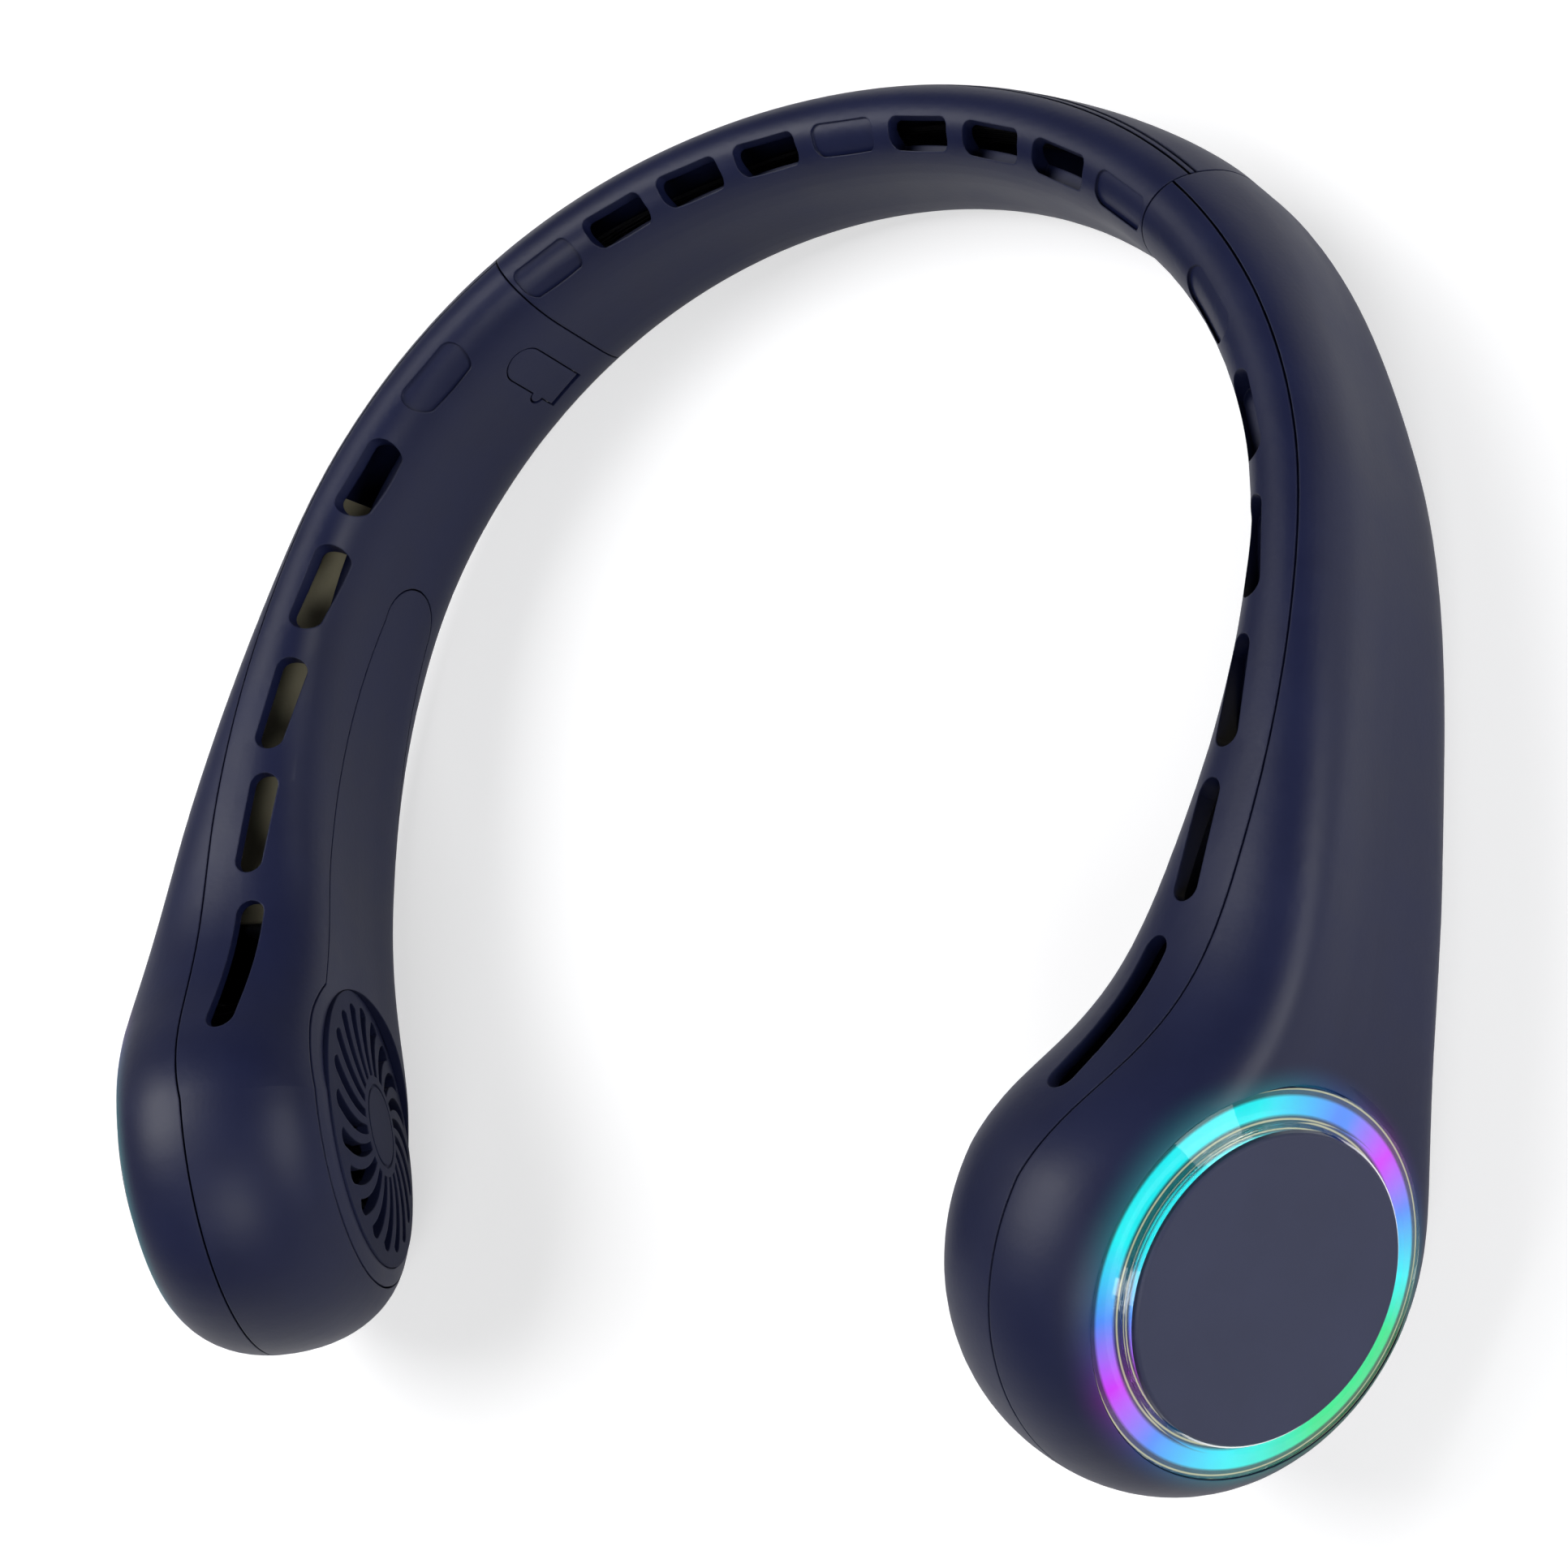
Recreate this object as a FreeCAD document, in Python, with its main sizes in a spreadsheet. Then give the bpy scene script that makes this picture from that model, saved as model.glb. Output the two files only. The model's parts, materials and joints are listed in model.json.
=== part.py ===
import FreeCAD, Part
import math
import os
from types import SimpleNamespace

import Sketcher
from FreeCAD import Placement, Rotation, Vector

# Electric neck fan: a U-shaped band with a blower pod at each end, lying as on a table.
# +X is the wearer's left-to-right axis, +Y points to the back of the neck, +Z is up.
# The band is drawn in section coordinates: station (length along the band's plan line from
# the middle of the back, negative on the left), out (away from the neck) and up (leaning).

doc = FreeCAD.newDocument("neck_fan")
sheet = doc.addObject("Spreadsheet::Sheet", "Sizes")

driving_sizes = [
    # plan line and sections of the band
    ("back_radius", 87.5, "plan radius of the back of the band"),
    ("back_sweep", 80, "degrees turned by the back, each side"),
    ("arm_radius", 184, "plan radius of the arms"),
    ("toe_in", 20, "degrees the pods turn in past straight ahead"),
    ("band_thickness", 14, "thickness of the band"),
    ("band_height", 31.6, "height of the band at the back"),
    ("arm_height", 41, "height of the arm before it flares into the pod"),
    ("pod_diameter", 63.7, "diameter of the round pod"),
    ("pod_thickness", 33.5, "thickness of the pod"),
    ("flare_fillet", 43, "concave radius between arm and pod"),
    ("thickening", 104, "length before the pod over which the arm thickens"),
    ("back_flat", 8, "flat height of the band's faces at the back"),
    ("pod_edge", 12.85, "width of the rounded edge around the pod's flat faces"),
    ("lean_back", -4, "degrees of lean at the back, negative leans the top to the neck"),
    ("lean_pod", -23, "degrees of lean at the pods"),
    ("level_back", 30, "length over which the middle line starts to climb"),
    ("swell", 3, "extra outward fullness of the shoulders"),
    ("swell_station", 66, "station of the fullest shoulder"),
    ("swell_reach", 42, "length over which the shoulder fades, each way"),
    ("waist", 2.2, "the arms' outer side is drawn in by this before the pod"),
    ("waist_station", 162, "station of the slimmest waist"),
    ("waist_reach", 42, "length over which the waist fades, each way"),
    ("section_pitch", 9.5, "spacing of the sections that a skin runs through"),
    # walls and gaps
    ("wall", 1.8, "wall of shells and covers"),
    ("panel_gap", 0.3, "open parting line between shells"),
    ("fit_gap", 0.15, "clearance around a fitted piece"),
    ("arm_seam", 2.8, "parting line of the arms, outward of the middle"),
    ("back_seam", 5, "parting line of the back, outward of the middle"),
    ("back_groove_gap", 0.45, "second line on the back, outward of its parting line"),
    ("back_groove_width", 0.3, "width of the second line"),
    ("back_groove_depth", 0.35, "depth of the second line"),
    ("neckband_half", 64.5, "station of the joint between back and arm"),
    ("sleeve_length", 9, "length of the joint sleeve"),
    ("sleeve_wall", 1.2, "wall of the joint sleeve"),
    # air vents
    ("vent_width", 4.2, "width of every vent"),
    ("vent_blind_depth", 0.45, "depth of a vent that is only a dent"),
    ("vent_reach", 9, "vents are cut this far above the band's top"),
    ("vent_line_back", 3.1, "line of vents, inward of the middle, at the back"),
    ("vent_line_pod", 4.9, "line of vents, inward of the middle, at the pod"),
    ("arm_vent_first", 20.5, "first vent of an arm, from the joint"),
    ("arm_vent_last", 49.5, "fifth vent of an arm, from the pod's middle"),
    ("arm_vent_length", 13, "length of the first vent of an arm"),
    ("arm_vent_growth", 0.9, "each further vent is longer by this"),
    ("last_vent_gap", 24, "long vent beside the pod, from the pod's middle"),
    ("last_vent_length", 22.5, "length of the long vent beside the pod"),
    ("back_vent_end", 6.5, "outermost vent of the back, from the joint"),
    ("back_vent_length", 10.8, "length of a vent of the back"),
    ("back_vent_corner", 1.4, "corner radius of a vent of the back"),
    # panel on the neck side of arm and pod
    ("cover_thickness", 1.6, "thickness of the inner cover"),
    ("cover_ledge", 1.6, "ledge that the inner cover lies on, wide and thick"),
    ("cover_length", 91.5, "the cover's round end, from the pod's middle"),
    ("cover_end_radius", 7, "radius of the cover's round end"),
    ("cover_end_drop", 5, "the round end lies this far below the middle"),
    ("cover_neck", 13, "half height of the cover where it starts to flare"),
    ("cover_rim", 7.05, "rim of the pod left around the cover"),
    ("cover_fillet", 50, "concave radius of the cover's flare"),
    ("cover_pitch", 6, "spacing of the points that the cover's outline runs through"),
    # intake grille
    ("grille_margin", 3, "cover left around the grille"),
    ("grille_dome", 1.6, "height of the grille's dome"),
    ("grille_plate", 1.8, "thickness of the slotted face"),
    ("grille_depth", 3.6, "depth of the grille's rim"),
    ("grille_rim", 1.3, "wall of the grille's rim"),
    ("grille_hub", 8, "radius where the slots start"),
    ("grille_slot_margin", 3.2, "slots end this far inside the grille's edge"),
    ("grille_slot_inner", 1.4, "slot width at its inner end"),
    ("grille_slot_outer", 3.2, "slot width at its outer end"),
    ("grille_slot_nose", 1.1, "round end of a slot, beyond its sides"),
    ("grille_swirl", -17, "degrees that a slot turns from inside to outside"),
    ("grille_slots", 20, "number of slots"),
    ("hub_groove_radius", 6.4, "radius of the ring groove on the hub"),
    ("hub_groove_width", 0.5, "width of the ring groove"),
    ("hub_groove_depth", 0.3, "depth of the ring groove"),
    # light ring on the outer face of the pod
    ("ring_width", 5, "width of the clear ring, to the disc"),
    ("disc_thickness", 3, "thickness of the side disc"),
    ("disc_proud", 0.3, "the disc stands this far out of the pod face"),
    ("disc_chamfer", 0.3, "chamfer of the disc's edge"),
    ("pod_rim", 6.85, "rim of the pod left around the clear ring"),
    ("lens_rim_height", 0.75, "height of the clear ring at its outer edge"),
    ("lens_peak_height", 2.3, "height of the clear ring at its inner edge"),
    ("lens_peak_width", 0.9, "width of the clear ring's top"),
    ("channel_depth", 5.3, "depth of the ring channel below the pod face"),
    ("channel_wall", 1.6, "wall of the ring channel"),
    ("guide_height", 1.9, "height of the light guide"),
    ("guide_groove", 2.4, "width of the groove over the lamps"),
    ("guide_lip", 0.25, "width of the two lips that carry the clear ring"),
    ("guide_air", 0.2, "air gap between the lips, under the clear ring"),
    ("led_board_thickness", 0.8, "thickness of the lamp board"),
    ("lamp_width", 1.6, "width of a lamp"),
    ("lamp_height", 0.65, "height of a lamp"),
    ("lamp_room", 0.1, "clearance over a lamp"),
    ("lamps", 12, "number of lamps in a ring"),
    # blower motor
    ("boss_height", 2.4, "height of the screw bosses"),
    ("boss_radius", 2.2, "radius of the screw bosses"),
    ("boss_inset", 10.85, "circle of screws, inside the pod's edge"),
    ("plate_inset", 8.25, "motor plate, inside the pod's edge"),
    ("plate_thickness", 1.2, "thickness of the motor plate"),
    ("screw_radius", 0.8, "radius of a screw's shank"),
    ("screw_head_radius", 1.6, "radius of a screw's head"),
    ("screw_head_height", 0.8, "height of a screw's head"),
    ("screw_grip", 2.6, "length of screw inside the boss"),
    ("plate_screw_count", 3, "screws of one motor plate"),
    ("tube_length", 7, "length of the bearing tube"),
    ("tube_wall", 1.1, "wall of the bearing tube"),
    ("bearing_radius", 2.5, "outer radius of the bearing"),
    ("shaft_radius", 1, "radius of the shaft"),
    ("running_fit", 0.03, "radial clearance of a turning fit"),
    ("shaft_end_gap", 0.6, "gap above the end of the shaft"),
    ("stator_radius", 8.2, "outer radius of the stator"),
    ("stator_height", 4.6, "height of the stator"),
    ("stator_gap", 1.6, "stator stands this far below the plate"),
    ("tooth_width", 1.8, "width of a stator tooth"),
    ("shoe_width", 5.4, "width of a tooth's shoe"),
    ("shoe_thickness", 1, "thickness of a tooth's shoe"),
    ("teeth", 6, "number of stator teeth"),
    ("coil_thickness", 0.9, "thickness of a coil on its tooth"),
    ("air_gap", 0.4, "gap between stator and magnets"),
    ("magnet_thickness", 0.8, "thickness of the magnet ring"),
    ("cup_wall", 0.8, "wall of the rotor cup"),
    ("cup_rim_gap", 0.8, "gap between cup rim and motor plate"),
    ("cup_depth", 7.4, "inside depth of the rotor cup"),
    # blower wheel
    ("wheel_inset", 8.2, "blower wheel, inside the pod's edge"),
    ("wheel_wall", 1.2, "wall of hub and back plate"),
    ("wheel_drop", 0.8, "back plate lies this far below the cup's rim"),
    ("blade_height", 12.8, "height of the blades"),
    ("blade_start", 3.6, "blades start this far outside the wheel's hub"),
    ("blade_thickness", 0.9, "thickness of a blade"),
    ("blade_sweep", 24, "degrees that a blade turns from inside to outside"),
    ("blade_count", 24, "number of blades"),
    ("shroud_width", 5, "width of the wheel's front ring"),
    # cells, duct and cable inside the arms
    ("cell_from_pod", 55.5, "middle of the pouch cell, from the pod's middle"),
    ("cell_length", 42, "length of the pouch cell"),
    ("cell_height", 18, "height of the pouch cell"),
    ("cell_thickness", 6.4, "thickness of the pouch cell"),
    ("cell_corner", 1.5, "edge radius of the pouch cell"),
    ("cell_out", 0.6, "cell centre outward of the middle"),
    ("cell_gap", 1.8, "gap between duct wall and cell at the cell's middle"),
    ("duct_length", 73, "length of the duct wall"),
    ("duct_from_pod", 35.5, "end of the duct wall, from the pod's middle"),
    ("duct_up", 8.5, "duct wall above the middle"),
    ("duct_wall_thickness", 1.2, "thickness of the duct wall"),
    ("cable_width", 6, "width of the flat cable"),
    ("cable_thickness", 0.6, "thickness of the flat cable"),
    ("cable_drop", 1.5, "cable lies this far below the middle"),
    ("cable_gap", 0.6, "cable clearance from the sleeves"),
    ("cable_tail", 4, "the cable's left end, beyond the joint"),
    ("cable_stop", 1, "the cable ends this far before the right duct wall"),
    # charging port and its flap, on the left arm
    ("port_from_joint", 9.8, "charging port, from the joint"),
    ("flap_length", 16, "length of the flap, along the arm's height"),
    ("flap_width", 6.6, "width of the flap, along the band"),
    ("flap_thickness", 2.2, "thickness of the flap"),
    ("flap_gap", 0.25, "clearance around the flap"),
    ("flap_tab_radius", 1.2, "radius of the fingernail tab"),
    ("flap_tab_drop", 3, "the tab lies this far below the flap's middle"),
    ("flap_tab_room", 0.3, "extra room below the tab, where it swings out"),
    ("pin_radius", 0.5, "radius of the hinge pin"),
    ("pin_fit", 0.04, "radial clearance of the flap on its pin"),
    ("pin_hold", 1.1, "length of pin held in the frame at each end"),
    ("socket_width", 3.26, "width of the charging socket"),
    ("socket_length", 8.94, "length of the charging socket"),
    ("socket_wall", 0.35, "sheet thickness of the charging socket"),
    ("socket_bore_depth", 6.2, "depth of the socket's mouth"),
    ("tongue_width", 0.7, "thickness of the contact tongue"),
    ("tongue_length", 6.7, "length of the contact tongue"),
    ("tongue_recess", 0.8, "tongue ends this far inside the mouth"),
    ("socket_flap_gap", 0.4, "gap between the socket's mouth and the flap"),
    ("socket_hole_gap", 0.3, "clearance around the socket"),
    # control board and power button, on the left arm
    ("board_out", 2.6, "inner face of the board, outward of the middle"),
    ("board_thickness", 1, "thickness of the board"),
    ("board_margin", 3.8, "board beyond the port, toward the back"),
    ("board_length", 21, "length of the board"),
    ("board_height", 20, "height of the board"),
    ("board_screw_along", 12, "board screws, from the port"),
    ("board_screw_up", 7.8, "board screws, from the middle"),
    ("button_along", 4, "button, from the port"),
    ("button_radius", 4.4, "radius of the power button"),
    ("button_gap", 0.3, "clearance around the power button"),
    ("button_proud", 0.6, "button stands this far out of the shell"),
    ("button_flange", 1, "flange that keeps the button in"),
    ("button_flange_thickness", 0.7, "thickness of the flange"),
    ("button_seat_gap", 0.2, "gap between flange and shell"),
    ("button_travel", 0.8, "travel of the power button"),
    ("button_rest_gap", 0.1, "gap to the switch when pressed"),
    ("switch_width", 4.5, "width of the switch"),
    ("switch_height", 0.8, "height of the switch body"),
    ("plunger_radius", 1.4, "radius of the switch's plunger"),
]


class Dim:
    """A length with its number and the sheet expression that it comes from."""

    def __init__(self, number, text):
        self.number = number
        self.text = text

    def __float__(self):
        return float(self.number)

    def __add__(self, other):
        other = dim(other)
        return Dim(self.number + other.number, f"({self.text} + {other.text})")

    def __sub__(self, other):
        other = dim(other)
        return Dim(self.number - other.number, f"({self.text} - {other.text})")

    def __mul__(self, factor):
        return Dim(self.number * factor, f"({self.text} * {factor})")

    def __truediv__(self, factor):
        return Dim(self.number / factor, f"({self.text} / {factor})")


def dim(value):
    return value if isinstance(value, Dim) else Dim(value, str(value))


for row, (alias, number, note) in enumerate(driving_sizes, start=1):
    sheet.set(f"A{row}", note)
    sheet.set(f"B{row}", str(number))
    sheet.setAlias(f"B{row}", alias)
doc.recompute()
names = [alias for alias, number, note in driving_sizes]
mm = SimpleNamespace(**{alias: float(sheet.get(alias)) for alias in names})
sz = SimpleNamespace(**{alias: Dim(float(sheet.get(alias)), f"Sizes.{alias}") for alias in names})
corner_power = 2.15          # rounding of the section's corners, 2 is an ellipse


# Plan line, section and lean of the band

back_angle = math.radians(mm.back_sweep)
pod_angle = math.radians(90 + mm.toe_in)
back_arc = mm.back_radius * back_angle
pod_station = back_arc + mm.arm_radius * (pod_angle - back_angle)
pod_radius = mm.pod_diameter / 2


def smooth(share):
    share = min(max(share, 0.0), 1.0)
    return share * share * (3 - 2 * share)


def blend(start, end, share):
    return start + (end - start) * share


def plan(station):
    reach = abs(station)
    if reach <= back_arc:
        heading = reach / mm.back_radius
        return mm.back_radius * math.sin(heading), mm.back_radius * (math.cos(heading) - 1), heading
    heading = back_angle + (min(reach, pod_station) - back_arc) / mm.arm_radius
    offset = mm.back_radius - mm.arm_radius
    x = offset * math.sin(back_angle) + mm.arm_radius * math.sin(heading)
    y = offset * math.cos(back_angle) - mm.back_radius + mm.arm_radius * math.cos(heading)
    ahead = max(reach - pod_station, 0.0)
    return x + ahead * math.cos(heading), y - ahead * math.sin(heading), heading


def fillet_start(neck, radius, fillet):
    return pod_station - math.sqrt((radius + fillet) ** 2 - (neck + fillet) ** 2)


def flared_end(start, radius, fillet):
    return pod_station + (start - pod_station) * radius / (radius + fillet)


def flared(station, arm, neck, radius, fillet):
    # half height of an outline that follows the arm, then flares round the pod
    start = fillet_start(neck, radius, fillet)
    if station < start:
        return arm
    if station < flared_end(start, radius, fillet):
        return neck + fillet - math.sqrt(fillet ** 2 - (station - start) ** 2)
    return math.sqrt(max(radius ** 2 - (station - pod_station) ** 2, 0.0))


def half_height(station):
    station = abs(station)
    neck = mm.arm_height / 2
    share = smooth(station / fillet_start(neck, pod_radius, mm.flare_fillet))
    arm = blend(mm.band_height / 2, neck, share)
    return flared(station, arm, neck, pod_radius, mm.flare_fillet)


def half_width(station):
    share = smooth((abs(station) - pod_station + mm.thickening) / mm.thickening)
    return blend(mm.band_thickness / 2, mm.pod_thickness / 2, share)


def hump(station, middle, fade):
    share = min(abs(abs(station) - middle) / fade, 1.0)
    return math.cos(math.pi / 2 * share) ** 2


def fullness(station):
    # extra thickness of the outer side: a full shoulder, then a slim waist
    shoulder = mm.swell * hump(station, mm.swell_station, mm.swell_reach)
    return shoulder - mm.waist * hump(station, mm.waist_station, mm.waist_reach)


def flat_share(station):
    share = smooth(abs(station) / pod_station)
    return blend(mm.back_flat / mm.band_height, 1 - 2 * mm.pod_edge / mm.pod_diameter, share)


def lean(station):
    share = min(abs(station) / pod_station, 1.0)
    return math.radians(blend(mm.lean_back, mm.lean_pod, share ** 3))


def quarter(width, height, flat, steps=7):
    # flat face, then a rounded corner, from the face's middle to the top edge
    points = [(width, 0.0), (width, flat * height / 2)]
    for step in range(steps):
        angle = math.pi / 2 * step / steps
        bow = math.sin(angle) ** (2 / corner_power)
        points.append((width * math.cos(angle) ** (2 / corner_power), height * blend(flat, 1, bow)))
    return points + [(0.0, height)]


def reach(station, axis):
    # how far the section reaches in a direction whose share along its own out axis is given
    points = quarter(half_width(station), half_height(station), flat_share(station), steps=60)
    across = math.sqrt(1 - axis ** 2)
    return max(abs(axis) * out + across * up for out, up in points)


# the lowest points of back and pods lie at height 0, and front and back are equally far from y 0
back_rise = reach(0, math.sin(lean(0)))
pod_rise = reach(pod_station, math.sin(lean(pod_station)))
back_y = reach(0, math.cos(lean(0)))
front_y = plan(pod_station)[1] - reach(pod_station, math.cos(lean(pod_station)) * math.cos(pod_angle))
middle_y = (back_y + front_y) / 2


def rise(station):
    # height of the middle line: level across the back, then climbing steadily to the pod
    share = min(abs(station) / pod_station, 1.0)
    level = mm.level_back / pod_station
    climb = (math.hypot(share, level) - level) / (math.hypot(1, level) - level)
    return blend(back_rise, pod_rise, climb)


def clearance(station):
    return rise(station) - reach(station, math.sin(lean(station)))


# the pod's lowest point is a little behind its middle: lift the pod so that it stands at height 0
pod_rise -= min(clearance(blend(back_arc, pod_station, step / 100)) for step in range(101))


def spot(station, out, up):
    x, y, heading = plan(station)
    tilt = lean(station)
    away = math.cos(tilt) * out + math.sin(tilt) * up
    height = rise(station) - math.sin(tilt) * out + math.cos(tilt) * up
    side = math.copysign(1, station)
    return Vector(side * (x + away * math.sin(heading)), y + away * math.cos(heading) - middle_y, height)


def axes(station):
    # unit directions along the band (toward the pod), outward and up
    here = spot(station, 0, 0)
    outward = spot(station, 1, 0) - here
    upward = spot(station, 0, 1) - here
    step = math.copysign(0.5, station)
    along = spot(station + step, 0, 0) - spot(station - step, 0, 0)
    along.normalize()
    return along, outward, upward


def frame_at(station, out=0.0, up=0.0):
    # local frame: Z outward, Y up, X along the band (toward the pod on the left side)
    along, outward, upward = axes(station)
    return Placement(spot(station, out, up), Rotation(upward.cross(outward), upward, outward, "ZYX"))


# Free-form solids of the band

def section(station, outer, inner, edge):
    # two half outlines of the section, set in by a wall on the outer, inner and edge sides
    width = half_width(station)
    height = half_height(station) - edge
    flat = flat_share(station)
    swell = fullness(station)
    out_quarter = quarter(width - outer, height, flat)
    in_quarter = quarter(width - inner, height, flat)
    low_quarter = quarter(width + swell - outer, height, flat)
    top = [(out + swell * (1 - (up / height) ** 2) ** 2, up) for out, up in out_quarter[:-1]]
    top += [(-out, up) for out, up in reversed(in_quarter)]
    low = [(-out, -up) for out, up in in_quarter[:-1]]
    low += [(out, -up) for out, up in reversed(low_quarter)]
    upward = axes(station)[2]
    halves = []
    for points, start in ((top, upward), (low, upward * -1)):
        curve = Part.BSplineCurve()
        curve.interpolate(Points=[spot(station, *point) for point in points],
                          InitialTangent=start, FinalTangent=start * -1)
        halves.append(curve.toShape())
    return halves


def stations(start, end, pitch=mm.section_pitch):
    count = max(2, round(abs(end - start) / pitch))
    return [blend(start, end, step / count) for step in range(count + 1)]


def sewn(faces):
    shell = Part.makeShell(faces)
    shell.sewShape()
    solid = Part.makeSolid(shell)
    if solid.Volume < 0:
        solid.reverse()
    return solid


def band_solid(start, end, outer=0.0, inner=0.0, edge=0.0):
    # stretch of the band; one that ends at the pod gets the pod's round end
    wires = [Part.Wire(section(station, outer, inner, edge)) for station in stations(start, end)]
    faces = list(Part.makeLoft(wires, False, False).Faces) + [Part.Face(wires[0])]
    if end < pod_station:
        return sewn(faces + [Part.Face(wires[-1])])
    rim = section(pod_station, outer, inner, edge)[0]
    centre = spot(pod_station, 0, 0)
    forward, outward, upward = axes(pod_station)
    nose = rim.revolve(centre, outward, 180)
    if (nose.CenterOfMass - centre).dot(forward) < 0:
        nose = rim.revolve(centre, outward * -1, 180)
    return sewn(faces + list(nose.Faces))


def ribbon(places, out_range, up_range):
    # bar along the band; each range is a function of the station
    wires = []
    for station in places:
        near, far = out_range(station)
        low, high = up_range(station)
        corners = [spot(station, near, low), spot(station, far, low),
                   spot(station, far, high), spot(station, near, high)]
        wires.append(Part.makePolygon(corners + corners[:1]))
    return Part.makeLoft(wires, True, False)


margin = 4.0                 # cutting blocks reach this far beyond the band's faces
bite = 0.03                  # joined blocks cross rather than graze by this


def beyond_out(station):
    return half_width(station) + fullness(station) + margin


def height_span(station):
    return -half_height(station) - margin, half_height(station) + margin


def side_block(start, end, out_range):
    # everything between two distances outward of the middle
    bar = ribbon(stations(start, end), out_range, height_span)
    if end < pod_station:
        return bar
    near, far = out_range(pod_station)
    low, high = height_span(pod_station)
    corners = [spot(pod_station, out, up) for out, up in ((near, low), (far, low), (far, high), (near, high))]
    front = Part.Face(Part.makePolygon(corners + corners[:1]))
    return bar.fuse(front.extrude(axes(pod_station)[0] * high))


def outer_side(seam):
    return lambda station: (seam + mm.panel_gap, beyond_out(station))


def inner_side(seam):
    return lambda station: (-beyond_out(station), seam)


def rounded_face(centre, along, across, length, width, corner):
    # rectangle with round corners, or a stadium where the corner is half the width
    a = length / 2 - corner
    b = width / 2 - corner
    bow = corner * math.sqrt(0.5)
    edges = []
    last = None
    for u, v in ((1, 1), (-1, 1), (-1, -1), (1, -1), (1, 1)):
        beside = (u * (a + corner), v * b)
        beyond = (u * a, v * (b + corner))
        middle = (u * (a + bow), v * (b + bow))
        first, second = (beside, beyond) if u * v > 0 else (beyond, beside)
        start, through, end = [centre + along * p + across * q for p, q in (first, middle, second)]
        if last is not None and (start - last).Length > 1e-6:
            edges.append(Part.LineSegment(last, start).toShape())
        last = end
        if len(edges) < 8 and not (edges and (u, v) == (1, 1)):
            edges.append(Part.Arc(start, through, end).toShape())
    return Part.Face(Part.Wire(Part.__sortEdges__(edges)))


def vent(station, length, corner, blind):
    # prism that cuts one vent down through the top of the band
    out = -blend(mm.vent_line_back, mm.vent_line_pod, abs(station) / pod_station)
    along, outward, upward = axes(station)
    crown = 1 - (abs(out) / half_width(station)) ** corner_power
    top = half_height(station) * blend(flat_share(station), 1, crown ** (1 / corner_power))
    depth = 3 * mm.wall
    face = rounded_face(spot(station, out, top - depth), along, outward, length, mm.vent_width, corner)
    prism = face.extrude(upward * (depth + mm.vent_reach))
    if not blind:
        return prism
    return prism.cut(band_solid(station - length, station + length, *[mm.vent_blind_depth] * 3))


def cover_outline(grow):
    # drop-shaped block through the neck side of the arm: round end, flared sides, round pod
    start = pod_station - mm.cover_length
    pod_end_radius = pod_radius - mm.cover_rim
    neck_station = fillet_start(mm.cover_neck, pod_end_radius, mm.cover_fillet)
    flare_end = flared_end(neck_station, pod_end_radius, mm.cover_fillet)

    def height_range(station):
        share = (station - start) / (neck_station - start)
        arm = blend(mm.cover_end_radius, mm.cover_neck, min(share, 1.0))
        half = flared(min(station, flare_end), arm, mm.cover_neck, pod_end_radius, mm.cover_fillet)
        half += grow - bite
        sink = -mm.cover_end_drop * (pod_station - station) / mm.cover_length
        return sink - half, sink + half

    inside_pod = (flare_end + pod_station) / 2
    places = stations(start, flare_end, mm.cover_pitch) + [inside_pod]
    blocks = [ribbon(places, lambda station: (-beyond_out(station), 0.0), height_range)]
    for station, drop, radius in ((start, mm.cover_end_drop, mm.cover_end_radius),
                                  (pod_station, 0.0, pod_end_radius)):
        depth = beyond_out(station)
        blocks.append(Part.makeCylinder(radius + grow, depth, spot(station, -depth, -drop), axes(station)[1]))
    return blocks[0].fuse(blocks[1:])


# Document helpers

nodes = []


def node(obj, label, place=None):
    obj.Label = label
    if place is not None:
        obj.Placement = place
    nodes.append(obj)
    return obj


def feature(name, shape, place=None):
    obj = doc.addObject("Part::Feature", name)
    obj.Shape = shape
    if place is not None:
        obj.Placement = place
    return obj


def cut(name, base, tool):
    obj = doc.addObject("Part::Cut", name)
    obj.Base = base
    obj.Tool = tool
    return obj


def common(name, base, tool):
    obj = doc.addObject("Part::Common", name)
    obj.Base = base
    obj.Tool = tool
    return obj


def fuse(name, shapes):
    obj = doc.addObject("Part::MultiFuse", name)
    obj.Shapes = shapes
    return obj


def primitive(kind, name, place=None, **lengths):
    obj = doc.addObject(kind, name)
    for prop, length in lengths.items():
        obj.setExpression(prop, dim(length).text)
    if place is not None:
        obj.Placement = place
    return obj


def tie(sketch, kind, corner, length):
    # hold a sketch corner at a distance from the origin, or on the axis where that is nothing
    if float(length) == 0:
        axis = -2 if kind == "DistanceX" else -1
        sketch.addConstraint(Sketcher.Constraint("PointOnObject", corner, 1, axis))
        return
    index = sketch.addConstraint(Sketcher.Constraint(kind, -1, 1, corner, 1, float(length)))
    sketch.setExpression(f"Constraints[{index}]", dim(length).text)


def outline_sketch(body, name, role, corners):
    sketch = body.newObject("Sketcher::SketchObject", name)
    plane = next(part for part in body.Origin.OriginFeatures if part.Role == role)
    sketch.AttachmentSupport = [(plane, "")]
    sketch.MapMode = "FlatFace"
    points = [Vector(float(across), float(up), 0) for across, up in corners]
    count = len(points)
    for start, end in zip(points, points[1:] + points[:1]):
        sketch.addGeometry(Part.LineSegment(start, end), False)
    for corner in range(count):
        sketch.addConstraint(Sketcher.Constraint("Coincident", corner, 2, (corner + 1) % count, 1))
    for corner, (across, up) in enumerate(corners):
        tie(sketch, "DistanceX", corner, across)
        tie(sketch, "DistanceY", corner, up)
    return sketch


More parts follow.
